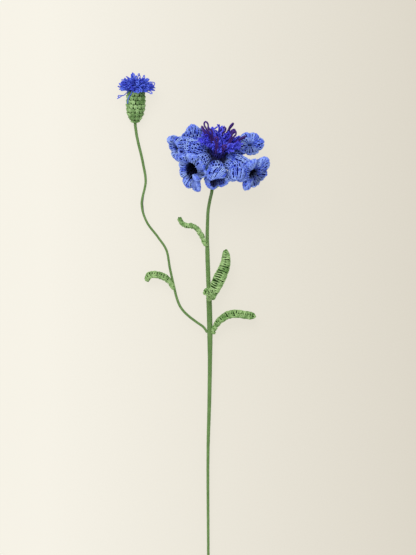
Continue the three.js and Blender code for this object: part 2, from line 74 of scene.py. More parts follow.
class Maker:
    def __init__(self, tree):
        self.tree = tree

    def node(self, kind, settings=None, inputs=None, output=None):
        made = self.tree.nodes.new(kind)
        for name, value in (settings or {}).items():
            setattr(made, name, value)
        for key, value in (inputs or {}).items():
            socket = pick(made.inputs, key)
            for one in value if isinstance(value, list) else [value]:
                if isinstance(one, Wire):
                    self.tree.links.new(one.socket, socket)
                else:
                    socket.default_value = one
        shown = [s for s in made.outputs if s.enabled]
        return Wire(self, shown[0] if output is None else pick(made.outputs, output)) if shown else made

    def sum(self, operation, a, b):
        vectors = [isinstance(x, Wire) and x.isVector() or isinstance(x, tuple) for x in (a, b)]
        if not any(vectors):
            return self.node("ShaderNodeMath", {"operation": operation}, {0: a, 1: b})
        if operation == "MULTIPLY" and not all(vectors):
            vector, number = (a, b) if vectors[0] else (b, a)
            return self.node("ShaderNodeVectorMath", {"operation": "SCALE"}, {0: vector, "Scale": number})
        return self.node("ShaderNodeVectorMath", {"operation": operation}, {0: a, 1: b})

    def maths(self, operation, *values):
        return self.node("ShaderNodeMath", {"operation": operation}, dict(enumerate(values)))

    def vectors(self, operation, *values):
        return self.node("ShaderNodeVectorMath", {"operation": operation}, dict(enumerate(values)))

    def within(self, value, low=0.0, high=1.0):
        return self.maths("MINIMUM", self.maths("MAXIMUM", value, low), high)

    def vector(self, x, y, z):
        return self.node("ShaderNodeCombineXYZ", inputs={0: x, 1: y, 2: z})

    def parts(self, vector):
        x = self.node("ShaderNodeSeparateXYZ", inputs={0: vector})
        return x, x.other("Y"), x.other("Z")

    def mixed(self, share, a, b):
        return self.node("ShaderNodeMix", {"data_type": "RGBA"}, {0: share, 6: a, 7: b}, 2)


class TreeMaker(Maker):
    kinds = {"shape": "NodeSocketGeometry", "number": "NodeSocketFloat", "count": "NodeSocketInt",
             "choice": "NodeSocketBool", "object": "NodeSocketObject", "material": "NodeSocketMaterial"}

    def __init__(self, name, wants):
        super().__init__(bpy.data.node_groups.new(name, "GeometryNodeTree"))
        face = self.tree.interface
        face.new_socket("Geometry", in_out="OUTPUT", socket_type="NodeSocketGeometry")
        for label, kind in {"Geometry": "shape", **wants}.items():
            face.new_socket(label, in_out="INPUT", socket_type=self.kinds[kind])
        self.given = self.node("NodeGroupInput")

    def named(self, label):
        return self.given.other(label)

    def stored(self, shape, name, value, kind="FLOAT", domain="POINT"):
        return self.node("GeometryNodeStoreNamedAttribute", {"data_type": kind, "domain": domain},
                         {"Geometry": shape, "Name": name, "Value": value})

    def attribute(self, name, kind="FLOAT"):
        return self.node("GeometryNodeInputNamedAttribute", {"data_type": kind}, {"Name": name})

    def random(self, low, high, seedShift=0, kind="FLOAT", each=None):
        inputs = {"Min": low, "Max": high, "Seed": self.named("Seed") + seedShift}
        if each is not None:
            inputs["ID"] = each
        return self.node("FunctionNodeRandomValue", {"data_type": kind}, inputs)

    def spot(self):
        return self.node("GeometryNodeInputPosition")

    def alongSpline(self, what="Factor"):
        return self.node("GeometryNodeSplineParameter", output=what)

    def ripple(self, at, scale, seedShift=0):   # a smooth random vector, each way from -0.5 to 0.5
        drift = self.vectors("ADD", at, self.vector(self.named("Seed") * 0.37 + seedShift, 0.0, 0.0))
        cloud = self.node("ShaderNodeTexNoise", {}, {"Vector": drift, "Scale": scale, "Detail": 1.0}, "Color")
        return self.vectors("SUBTRACT", cloud, (0.5, 0.5, 0.5))

    def yarnOver(self, curves, scale, sides):
        # Sweeps a round yarn along curves and notes where each point is on it.
        noted = self.stored(curves, "yarnAlong", self.alongSpline("Length"))
        ring = self.node("GeometryNodeCurvePrimitiveCircle", {}, {"Resolution": sides, "Radius": 1.0})
        ring = self.stored(ring, "yarnAround", self.spot(), "FLOAT_VECTOR")
        swept = self.node("GeometryNodeCurveToMesh", {}, {
            "Curve": noted, "Profile Curve": ring, "Scale": scale, "Fill Caps": True})
        return self.stored(swept, "isYarn", 1.0)

    def finish(self, *shapes):
        joined = self.node("GeometryNodeJoinGeometry", {}, {"Geometry": list(shapes)})
        real = self.node("GeometryNodeRealizeInstances", {}, {"Geometry": joined})
        smooth = self.node("GeometryNodeSetShadeSmooth", {}, {"Geometry": real})
        dressed = self.node("GeometryNodeSetMaterial", {}, {"Geometry": smooth, "Material": self.named("Backing")})
        yarn = self.node("FunctionNodeCompare", {}, {"A": self.attribute("isYarn"), "B": 0.5})
        dressed = self.node("GeometryNodeSetMaterial", {},
                            {"Geometry": dressed, "Selection": yarn, "Material": self.named("Yarn")})
        self.node("NodeGroupOutput", {}, {"Geometry": dressed})
        return self.tree


def makeStitchTree():
    # The geometry is a plan: one point for each stitch, at its place round and along the fabric. Each point gets
    # a stitch, and the stitches are then bent onto the surface.
    t = TreeMaker("crochetStitches", {
        "Surface": "object", "Stitch": "object", "Yarn radius": "number", "Yarn sides": "count",
        "Wobble": "number", "Fabric behind": "choice", "Backing depth": "number", "Seed": "count",
        "Yarn": "material", "Backing": "material"})
    surface = t.node("GeometryNodeObjectInfo", {}, {"Object": t.named("Surface")}, "Geometry")
    stitch = t.node("GeometryNodeObjectInfo", {}, {"Object": t.named("Stitch")}, "Geometry")
    stitch = t.node("GeometryNodeMeshToCurve", {}, {"Mesh": stitch})
    skew = t.attribute("turn") + t.random(-0.16, 0.16, 1)
    uneven = t.random((0.9, 0.9, 0.7), (1.1, 1.1, 1.3), 2, "FLOAT_VECTOR")
    size = t.attribute("cell", "FLOAT_VECTOR") * uneven
    placed = t.node("GeometryNodeInstanceOnPoints", {}, {
        "Points": t.named("Geometry"), "Instance": stitch, "Rotation": t.vector(0.0, 0.0, skew), "Scale": size})
    placed = t.stored(placed, "tone", t.random(0.0, 1.0, 3), "FLOAT", "INSTANCE")
    curves = t.node("GeometryNodeRealizeInstances", {}, {"Geometry": placed})
    x, y, lift = t.parts(t.spot())
    plan = t.vector(t.maths("FRACT", x), t.within(y, 0.002, 0.998), 0.0)

    def onSurface(value):
        return t.node("GeometryNodeSampleUVSurface", {"data_type": "FLOAT_VECTOR"}, {
            "Mesh": surface, "Value": value, "UV Map": t.attribute("UVMap", "FLOAT_VECTOR"), "Sample UV": plan})

    outward = t.vectors("NORMALIZE", onSurface(t.attribute("outward", "FLOAT_VECTOR")))
    at = onSurface(t.spot())
    bent = at + outward * lift + t.ripple(at, 900.0) * t.named("Wobble")
    # the painted shade of the surface is carried to its stitches
    curves = t.stored(curves, "deep", onSurface(t.attribute("deep")))
    curves = t.node("GeometryNodeSetPosition", {}, {"Geometry": curves, "Position": bent})
    plump = 0.8 + 0.25 * t.maths("SINE", t.alongSpline() * math.pi)
    yarn = t.yarnOver(curves, plump * t.named("Yarn radius"), t.named("Yarn sides"))
    backing = t.node("GeometryNodeSetPosition", {}, {
        "Geometry": surface, "Offset": t.attribute("outward", "FLOAT_VECTOR") * (0.0 - t.named("Backing depth"))})
    backing = t.node("GeometryNodeMergeByDistance", {}, {"Geometry": backing, "Distance": 0.00001})
    backing = t.node("GeometryNodeSwitch", {"input_type": "GEOMETRY"},
                     {"Switch": t.named("Fabric behind"), "True": backing})
    return t.finish(yarn, backing)


def makeWindingTree():
    # The geometry is a line with a girth. Strands run round it as a screw, over a core of the same yarn whose
    # darker colour is painted shade.
    t = TreeMaker("woundYarn", {
        "Pitch": "number", "Strands": "count", "Points a turn": "number", "Yarn radius": "number",
        "Yarn sides": "count", "Core share": "number", "Wobble": "number", "Seed": "count", "Yarn": "material",
        "Backing": "material"})
    path = t.node("GeometryNodeMeshToCurve", {}, {"Mesh": t.named("Geometry")})
    length = t.node("GeometryNodeCurveLength", {}, {"Curve": path})
    turns = length / t.named("Pitch")
    straight = t.node("GeometryNodeCurvePrimitiveLine")
    count = t.maths("MAXIMUM", turns * t.named("Points a turn"), 24.0)
    straight = t.node("GeometryNodeResampleCurve", {}, {"Curve": straight, "Count": count})
    copies = t.node("GeometryNodeDuplicateElements", {"domain": "SPLINE"},
                    {"Geometry": straight, "Amount": t.named("Strands")})
    share = copies.other("Duplicate Index") / t.named("Strands")
    copies = t.stored(copies, "phase", share, "FLOAT", "CURVE")
    copies = t.stored(copies, "tone", t.random(0.2, 0.8, 4), "FLOAT", "CURVE")
    copies = t.stored(copies, "place", t.alongSpline())
    place = t.attribute("place")
    sample = t.node("GeometryNodeSampleCurve", {}, {
        "Curves": path, "Value": t.attribute("girth"), "Factor": place}, "Position")
    across, tangent, girth = sample.other("Normal"), sample.other("Tangent"), sample.other("Value")
    upward = t.vectors("CROSS_PRODUCT", tangent, across)
    angle = (place * turns + t.attribute("phase")) * (2 * math.pi)
    ring = across * t.maths("COSINE", angle) + upward * t.maths("SINE", angle)
    bent = sample + ring * girth + t.ripple(sample, 600.0) * t.named("Wobble")
    curves = t.node("GeometryNodeSetPosition", {}, {"Geometry": copies, "Position": bent})
    yarn = t.yarnOver(curves, t.named("Yarn radius"), t.named("Yarn sides"))
    circle = t.node("GeometryNodeCurvePrimitiveCircle", {}, {"Resolution": 8, "Radius": 1.0})
    core = t.node("GeometryNodeCurveToMesh", {}, {
        "Curve": path, "Profile Curve": circle, "Scale": t.attribute("girth") * t.named("Core share"),
        "Fill Caps": True})
    return t.finish(yarn, core)


def makeTuftTree():
    # A brush of cut ends or loops that rise from a round patch and fan out, on its own +Z axis.
    t = TreeMaker("threadTuft", {
        "Strands": "count", "Points": "count", "Patch radius": "number", "Fan": "number", "Front closed": "number",
        "Front shorter": "number", "Length": "number", "Edge length": "number", "Loop": "number",
        "Loop width": "number", "Droop": "number", "Curl": "number", "Shade spread": "number",
        "Yarn radius": "number", "Yarn sides": "count", "Seed": "count",
        "Yarn": "material", "Backing": "material"})
    line = t.node("GeometryNodeCurvePrimitiveLine")
    line = t.node("GeometryNodeResampleCurve", {}, {"Curve": line, "Count": t.named("Points")})
    copies = t.node("GeometryNodeDuplicateElements", {"domain": "SPLINE"},
                    {"Geometry": line, "Amount": t.named("Strands")})
    copies = t.stored(copies, "strand", copies.other("Duplicate Index") + 0.5, "FLOAT", "CURVE")
    each = t.maths("FLOOR", t.attribute("strand"))
    share = t.maths("SQRT", t.attribute("strand") / t.named("Strands"))
    copies = t.stored(copies, "share", share, "FLOAT", "CURVE")
    copies = t.stored(copies, "tone", t.random(0.0, 1.0, 5, each=each), "FLOAT", "CURVE")
    copies = t.stored(copies, "place", t.alongSpline())
    share, place = t.attribute("share"), t.attribute("place")
    goldenAngle = 2.39996    # strands set this far round from one to the next fill the patch evenly
    azimuth = t.attribute("strand") * goldenAngle + t.random(-0.5, 0.5, 6, each=each)
    leanTo = azimuth + t.random(-0.35, 0.35, 7, each=each)
    front = t.maths("POWER", t.maths("MAXIMUM", 0.0 - t.maths("SINE", azimuth), 0.0), 3.0)
    fan = t.named("Fan") * (1.0 - front * t.named("Front closed"))
    lean = t.maths("POWER", share, 0.8) * fan + t.random(-0.16, 0.16, 8, each=each)
    away = t.vector(t.maths("COSINE", leanTo), t.maths("SINE", leanTo), 0.0)
    way = away * t.maths("SINE", lean) + t.vector(0.0, 0.0, t.maths("COSINE", lean))
    reach = t.named("Length") + (t.named("Edge length") - t.named("Length")) * share * share
    reach = reach * t.random(0.74, 1.08, 9, each=each) * (1.0 - front * t.named("Front shorter"))
    rootWay = t.vector(t.maths("COSINE", azimuth), t.maths("SINE", azimuth), 0.0)
    root = rootWay * (share * t.named("Patch radius"))
    tip = root + way * reach - t.vector(0.0, 0.0, t.named("Droop") * reach * share * share)
    bend = root + t.vectors("NORMALIZE", way + t.vector(0.0, 0.0, 0.75)) * (reach * 0.55)
    sideways = t.vectors("NORMALIZE", t.vectors("CROSS_PRODUCT", way, t.random(
        (-1.0, -1.0, -1.0), (1.0, 1.0, 1.0), 10, "FLOAT_VECTOR", each)))
    there = t.maths("SINE", place * math.pi)   # out to the fold and back, where the strands are loops
    loop = t.named("Loop")
    out = place + (there - place) * loop
    back = 1.0 - out
    curve = root * (back * back) + bend * (2.0 * back * out) + tip * (out * out)
    opened = t.maths("COSINE", place * math.pi) * t.maths("SQRT", t.maths("MAXIMUM", there, 0.0))
    curve = curve + sideways * (opened * t.named("Loop width") * loop)
    wave = t.ripple(curve + way * (each * 0.013), 420.0) * (t.named("Curl") * out * out)
    wave = wave + t.ripple(curve + way * (each * 0.013), 160.0, 5.0) * (t.named("Curl") * out * 0.6)
    curves = t.node("GeometryNodeSetPosition", {}, {"Geometry": copies, "Position": curve + wave})
    # Painted shade: strands are darker towards their roots, and each is shifted by a random darker tone of its
    # own.
    shaded = 1.3 - out * 1.45 - (t.random(0.0, 1.0, 5, each=each) - 0.35) * t.named("Shade spread")
    curves = t.stored(curves, "deep", t.within(shaded))
    thin = t.named("Yarn radius") * t.random(0.8, 1.15, 11, each=each)
    return t.finish(t.yarnOver(curves, thin, t.named("Yarn sides")))


stitchTree, windingTree, tuftTree = makeStitchTree(), makeWindingTree(), makeTuftTree()
print("node trees made")


def grow(name, source, tree, values):
    # Runs a tree on a source mesh and keeps the result as a plain mesh.
    holder = bpy.data.objects.new(name + "Plan", source)
    bpy.context.scene.collection.objects.link(holder)
    modifier = holder.modifiers.new("grow", "NODES")
    modifier.node_group = tree
    for item in tree.interface.items_tree:
        if item.in_out == "INPUT" and item.name in values:
            modifier[item.identifier] = values[item.name]
    holder.update_tag()
    bpy.context.view_layer.update()
    ready = holder.evaluated_get(bpy.context.evaluated_depsgraph_get())
    made = bpy.data.meshes.new_from_object(ready)
    holder.modifiers.remove(modifier)
    bpy.data.objects.remove(holder)
    made.name = name
    piece = bpy.data.objects.new(name, made)
    bpy.context.scene.collection.objects.link(piece)
    print(name, "has", sum(len(p.vertices) - 2 for p in made.polygons), "triangles")
    return piece


def keep(piece, slot, *nodes):
    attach(piece, "root")
    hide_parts(*nodes)


def joined(piece, *others):
    with bpy.context.temp_override(active_object=piece, selected_editable_objects=[piece, *others]):
        bpy.ops.object.join()
    return piece


def hidden(name, mesh):   # an object that a tree reads and that is thrown away before the end
    made = bpy.data.objects.new(name, mesh)
    bpy.context.scene.collection.objects.link(made)
    helpers.append(made)
    return made


helpers = []


def unit(v):
    return v / np.maximum(np.linalg.norm(v, axis=-1, keepdims=True), 1e-9)


def spaced(line, places):   # points at shares of a line's length
    steps = np.concatenate([[0], np.cumsum(np.linalg.norm(np.diff(line, axis=0), axis=1))])
    return np.stack([np.interp(np.asarray(places) * steps[-1], steps, line[:, k]) for k in range(3)], 1)


def lineLength(line):
    return np.linalg.norm(np.diff(line, axis=0), axis=1).sum()


def smoothLine(points, fine=24):
    # A smooth curve through points, which doesn't overshoot where they are unevenly spaced.
    p = np.array(points, float)
    p = np.vstack([2 * p[0] - p[1], p, 2 * p[-1] - p[-2]])
    found = []
    for a, b, c, d in zip(p, p[1:], p[2:], p[3:]):
        s, m, e = (math.sqrt(np.linalg.norm(y - x)) for x, y in ((a, b), (b, c), (c, d)))
        start = ((b - a) / s - (c - a) / (s + m) + (c - b) / m) * m
        stop = ((c - b) / m - (d - b) / (m + e) + (d - c) / e) * m
        for t in np.linspace(0, 1, fine, endpoint=False):
            found.append((2 * t**3 - 3 * t**2 + 1) * b + (t**3 - 2 * t**2 + t) * start
                         + (3 * t**2 - 2 * t**3) * c + (t**3 - t**2) * stop)
    return np.array(found + [p[-2]])


def bezier(points, places):
    t = np.asarray(places, float)[:, None]
    if len(points) == 3:
        a, b, c = points
        return (1 - t)**2 * a + 2 * (1 - t) * t * b + t**2 * c
    a, b, c, d = points
    return (1 - t)**3 * a + 3 * (1 - t)**2 * t * b + 3 * (1 - t) * t**2 * c + t**3 * d


def stations(line, hint):
    # The axes at each point of a line: across is as near as it can be to the hint.
    tangent = unit(np.gradient(line, axis=0))
    across = unit(hint - tangent * (tangent @ hint)[:, None])
    return tangent, across, np.cross(tangent, across)


def placeFrame(at, lean, rise):   # a head that leans right of +Y and rises from the table
    tip, turn = math.radians(rise - 90), math.radians(-lean)
    aboutX = np.array([[1, 0, 0], [0, math.cos(tip), -math.sin(tip)], [0, math.sin(tip), math.cos(tip)]])
    aboutZ = np.array([[math.cos(turn), -math.sin(turn), 0], [math.sin(turn), math.cos(turn), 0], [0, 0, 1]])
    return np.array(at) + middle, aboutZ @ aboutX


def toWorld(place, points):
    return place[0] + np.asarray(points) @ place[1].T


head = placeFrame((13.6, 140.3, 28.2), 13, 27)
calyxPlace = placeFrame((13.6, 140.3, 28.2), 8, 27)    # the calyx leans a little less than what it holds
bud = placeFrame((-41.4, 166.2, 5.9), 2.6, 10)


def lineMesh(name, lines, girth):
    # Lines as loose edges, in millimetres, with the girth that a winding has round each point.
    mesh = bpy.data.meshes.new(name)
    vertices, edges = [], []
    for line in lines:
        edges += [(len(vertices) + i, len(vertices) + i + 1) for i in range(len(line) - 1)]
        vertices += list(line)
    mesh.from_pydata([tuple(np.array(v) * mm) for v in vertices], edges, [])
    values = np.broadcast_to(np.asarray(girth, float), (len(vertices),)) * mm
    mesh.attributes.new("girth", "FLOAT", "POINT").data.foreach_set("value", values.astype(np.float32))
    return mesh


def surfaceObject(name, grid, places, deep=0):
    # A closed surface from rows of points: grid[row][column], with the first column repeated at the end.
    # Its map has the way round as u and the given places of the rows as v. Where it is deep, its yarn and backing
    # take painted shade and are darker.
    rows, columns = grid.shape[:2]
    ring = grid[:, :-1]
    around = np.roll(ring, -1, 1) - np.roll(ring, 1, 1)
    around = np.concatenate([around, around[:, :1]], 1)
    along = np.gradient(grid, axis=0)
    outward = np.cross(around, along)
    faces = [(r * columns + c, r * columns + c + 1, (r + 1) * columns + c + 1, (r + 1) * columns + c)
             for r in range(rows - 1) for c in range(columns - 1)]
    p = grid.reshape(-1, 3)
    f = np.array(faces)
    volume = sum(np.einsum("ij,ij->i", p[f[:, 0]], np.cross(p[f[:, i]], p[f[:, i + 1]])).sum() for i in (1, 2))
    if volume < 0:      # the rows run the other way round, so the faces would point inwards
        faces = [face[::-1] for face in faces]
        outward = -outward
    long = np.linalg.norm(outward, axis=2)
    for r in range(rows):
        if long[r].max() < 1e-6:
            near = r + 1 if r == 0 else r - 1
            outward[r] = outward[near].mean(0)
    outward = unit(outward)
    mesh = bpy.data.meshes.new(name)
    mesh.from_pydata((p * mm).tolist(), [], faces)
    u = np.linspace(0, 1, columns)
    flat = np.array([[u[i % columns], places[i // columns]] for i in range(rows * columns)])
    corner = np.zeros(len(mesh.loops), np.int32)
    mesh.loops.foreach_get("vertex_index", corner)
    mesh.uv_layers.new(name="UVMap").data.foreach_set("uv", flat[corner].astype(np.float32).ravel())
    mesh.attributes.new("outward", "FLOAT_VECTOR", "POINT").data.foreach_set(
        "vector", outward.reshape(-1).astype(np.float32))
    # how much painted shade each point takes
    shadeShare = np.broadcast_to(deep, (rows, columns)).astype(np.float32).ravel()
    mesh.attributes.new("deep", "FLOAT", "POINT").data.foreach_set("value", shadeShare)
    return hidden(name, mesh)


def planMesh(name, cells):
    # Each cell is (round, along, width, height, lift in mm, turn in degrees).
    cells = np.array(cells, float)
    mesh = bpy.data.meshes.new(name)
    mesh.from_pydata([(c[0], c[1], 0) for c in cells], [], [])
    size = np.stack([cells[:, 2], cells[:, 3], cells[:, 4] * mm], 1)
    size = size.ravel().astype(np.float32)
    mesh.attributes.new("cell", "FLOAT_VECTOR", "POINT").data.foreach_set("vector", size)
    turn = np.radians(cells[:, 5]).astype(np.float32)
    mesh.attributes.new("turn", "FLOAT", "POINT").data.foreach_set("value", turn)
    return mesh


def roundOf(count, low, high, lift, shift=0.0):   # one round of stitches
    return [((i + shift) / count, low, 1 / count, high - low, lift, 0) for i in range(count)]


def fanOf(count, start, width, low, high, lift, slant):   # stitches side by side over part of a round
    return [(start + (i + 0.5) * width / count, low, width / count, high - low, lift, slant)
            for i in range(count)]


def stitchObject(name, strands, fine=7):
    # Strands of a stitch, each [start, middle, end], in a cell one wide and one high. The third number is lift.
    lines = [bezier([np.array(p, float) for p in s], np.linspace(0, 1, fine)) / mm for s in strands]
    return hidden(name, lineMesh(name, lines, 1))


def emptyMaterial(name):
    material = bpy.data.materials.new(name)
    material.use_nodes = True
    material.node_tree.nodes.clear()
    return material, Maker(material.node_tree)


def yarnMaterial(name, look):
    # Matt plied yarn: lighter ridges, darker grooves between the plies (painted shade), and a tone that changes by
    # the stitch.
    material, m = emptyMaterial(name)
    along = m.node("ShaderNodeAttribute", {"attribute_name": "yarnAlong"}, output="Fac")
    around = m.node("ShaderNodeAttribute", {"attribute_name": "yarnAround"}, output="Vector")
    tone = m.node("ShaderNodeAttribute", {"attribute_name": "tone"}, output="Fac")
    c, s, _ = m.parts(around)
    c3, s3 = 4 * c * c * c - 3 * c, 3 * s - 4 * s * s * s
    twist = along * (2 * math.pi / (look["ply"] * mm))
    ridge = 0.5 + 0.5 * (s3 * m.maths("COSINE", twist) + c3 * m.maths("SINE", twist))
    place = m.node("ShaderNodeTexCoord", output="Object")
    patch = m.node("ShaderNodeTexNoise", {}, {"Vector": place, "Scale": 140.0, "Detail": 2.0}, "Fac")
    fibre = m.node("ShaderNodeTexNoise", {}, {"Vector": place, "Scale": 3800.0, "Detail": 2.0}, "Fac")
    # painted shade: the grooves between the plies take the groove colour, more where the tone is low
    colour = m.mixed(m.within(0.25 + 0.9 * ridge - 0.4 * (1.0 - tone)), look["groove"], look["yarn"])
    colour = m.mixed(m.within(tone * 0.55 + patch * 0.9 - 0.45), colour, look["light"])
    colour = m.mixed(m.within(fibre - 0.35) * 0.35, colour, look["light"])
    # where the yarn lies deep its colour is mixed towards a dark colour that is painted shade
    if "inside" in look:
        deep = m.node("ShaderNodeAttribute", {"attribute_name": "deep"}, output="Fac")
        colour = m.mixed(m.within(deep), colour, look["inside"])
    bump = m.node("ShaderNodeBump", {}, {
        "Strength": 0.6, "Distance": look["ply"] * mm * 0.12, "Height": ridge + fibre * 0.5})
    body = m.node("ShaderNodeBsdfPrincipled", {}, {
        "Base Color": colour, "Roughness": 0.72 + 0.2 * fibre, "Normal": bump, "Specular IOR Level": 0.25,
        "Sheen Weight": 0.1, "Sheen Roughness": 0.4, "Sheen Tint": look["light"]}, "BSDF")
    m.node("ShaderNodeOutputMaterial", {}, {"Surface": body})
    return material


def backingMaterial(name, colour, deep):
    # A sheet or core under the strands, dark with painted shade: the inside of the fabric as it looks in shade
    # between the strands, darker still where it is deep. The filling uses it with its own pale colours.
    material, m = emptyMaterial(name)
    place = m.node("ShaderNodeTexCoord", output="Object")
    fibre = m.node("ShaderNodeTexNoise", {}, {"Vector": place, "Scale": 1800.0, "Detail": 3.0}, "Fac")
    inside = m.node("ShaderNodeAttribute", {"attribute_name": "deep"}, output="Fac")
    seen = m.mixed(m.within(fibre * 1.6 - 0.3), deep, colour)
    seen = m.mixed(m.within(inside), seen, deep)
    bump = m.node("ShaderNodeBump", {}, {"Strength": 0.5, "Distance": 0.0002, "Height": fibre})
    body = m.node("ShaderNodeBsdfPrincipled", {}, {
        "Base Color": seen, "Roughness": 0.85 + 0.1 * fibre, "Normal": bump, "Specular IOR Level": 0.2}, "BSDF")
    m.node("ShaderNodeOutputMaterial", {}, {"Surface": body})
    return material


def shade(red, green, blue):   # a colour as the eye reads it, 0 to 255
    flat = [x / 255 / 12.92 if x < 11 else ((x / 255 + 0.055) / 1.055)**2.4 for x in (red, green, blue)]
    return (*flat, 1.0)


def yarnOf(name, yarn, groove, light, ply, **more):   # groove is the colour of painted shade between the plies; ply is the length of one turn of its plies, in mm
    return yarnMaterial(name, {"yarn": shade(*yarn), "groove": shade(*groove), "light": shade(*light), "ply": ply,
                               **{key: shade(*value) for key, value in more.items()}})


yarns = {
    # the last colour of a yarn, where given, is painted shade for where it lies deep
    "floret": yarnOf("floretYarn", (108, 144, 255), (34, 50, 204), (188, 214, 255), 1.5, inside=(8, 8, 58)),
    "tuft": yarnOf("tuftYarn", (62, 50, 246), (22, 10, 152), (118, 128, 255), 1.1, inside=(10, 4, 72)),
    "budThread": yarnOf("budThread", (66, 86, 228), (40, 42, 180), (116, 146, 250), 1.0, inside=(28, 24, 140)),
    "stamen": yarnOf("stamenCord", (70, 34, 118), (30, 14, 74), (100, 64, 160), 0.9),
    "leaf": yarnOf("leafYarn", (134, 180, 100), (62, 108, 40), (202, 230, 166), 1.3),
    "calyx": yarnOf("calyxYarn", (126, 168, 96), (60, 98, 40), (182, 214, 152), 1.6),
    "stem": yarnOf("stemYarn", (104, 140, 78), (74, 108, 52), (134, 168, 104), 1.1),
}
# dark sheets and cores under the yarn, their colours painted shade seen between the strands
backings = {
    "blue": backingMaterial("floretShadeSheet", shade(24, 34, 146), shade(6, 6, 38)),
    "royal": backingMaterial("tuftShadeSheet", shade(24, 18, 110), shade(10, 8, 52)),
    "green": backingMaterial("greenShadeSheet", shade(40, 70, 24), shade(16, 32, 10)),
    "stem": backingMaterial("stemShadeCore", shade(84, 120, 60), shade(58, 88, 40)),
    "plum": backingMaterial("plumShadeCore", shade(40, 16, 70), shade(22, 8, 44)),
}
print("yarns made")


def steelMaterial():
    material, m = emptyMaterial("floristWire")
    place = m.node("ShaderNodeTexCoord", output="Object")
    drawn = place * (3000.0, 90.0, 3000.0)   # marks of drawing run along the wire
    scratch = m.node("ShaderNodeTexNoise", {}, {"Vector": drawn, "Scale": 1.0, "Detail": 3.0}, "Fac")
    bump = m.node("ShaderNodeBump", {}, {"Strength": 0.25, "Distance": 0.00005, "Height": scratch})
    body = m.node("ShaderNodeBsdfPrincipled", {}, {
        "Base Color": m.mixed(scratch, shade(118, 120, 122), shade(176, 178, 180)), "Metallic": 1.0,
        "Roughness": 0.28 + 0.2 * scratch, "Normal": bump}, "BSDF")
    m.node("ShaderNodeOutputMaterial", {}, {"Surface": body})
    return material


def dressCad():   # the wires, and the filling inside the two calyxes, keep their CAD shapes
    steel = steelMaterial()
    filling = backingMaterial("fillingFibre", shade(236, 233, 226), shade(206, 202, 192))
    for name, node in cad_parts.items():
        if name.endswith("_wire") or name.endswith("_stuffing"):
            node.data.materials.clear()
            node.data.materials.append(steel if name.endswith("_wire") else filling)


dressCad()

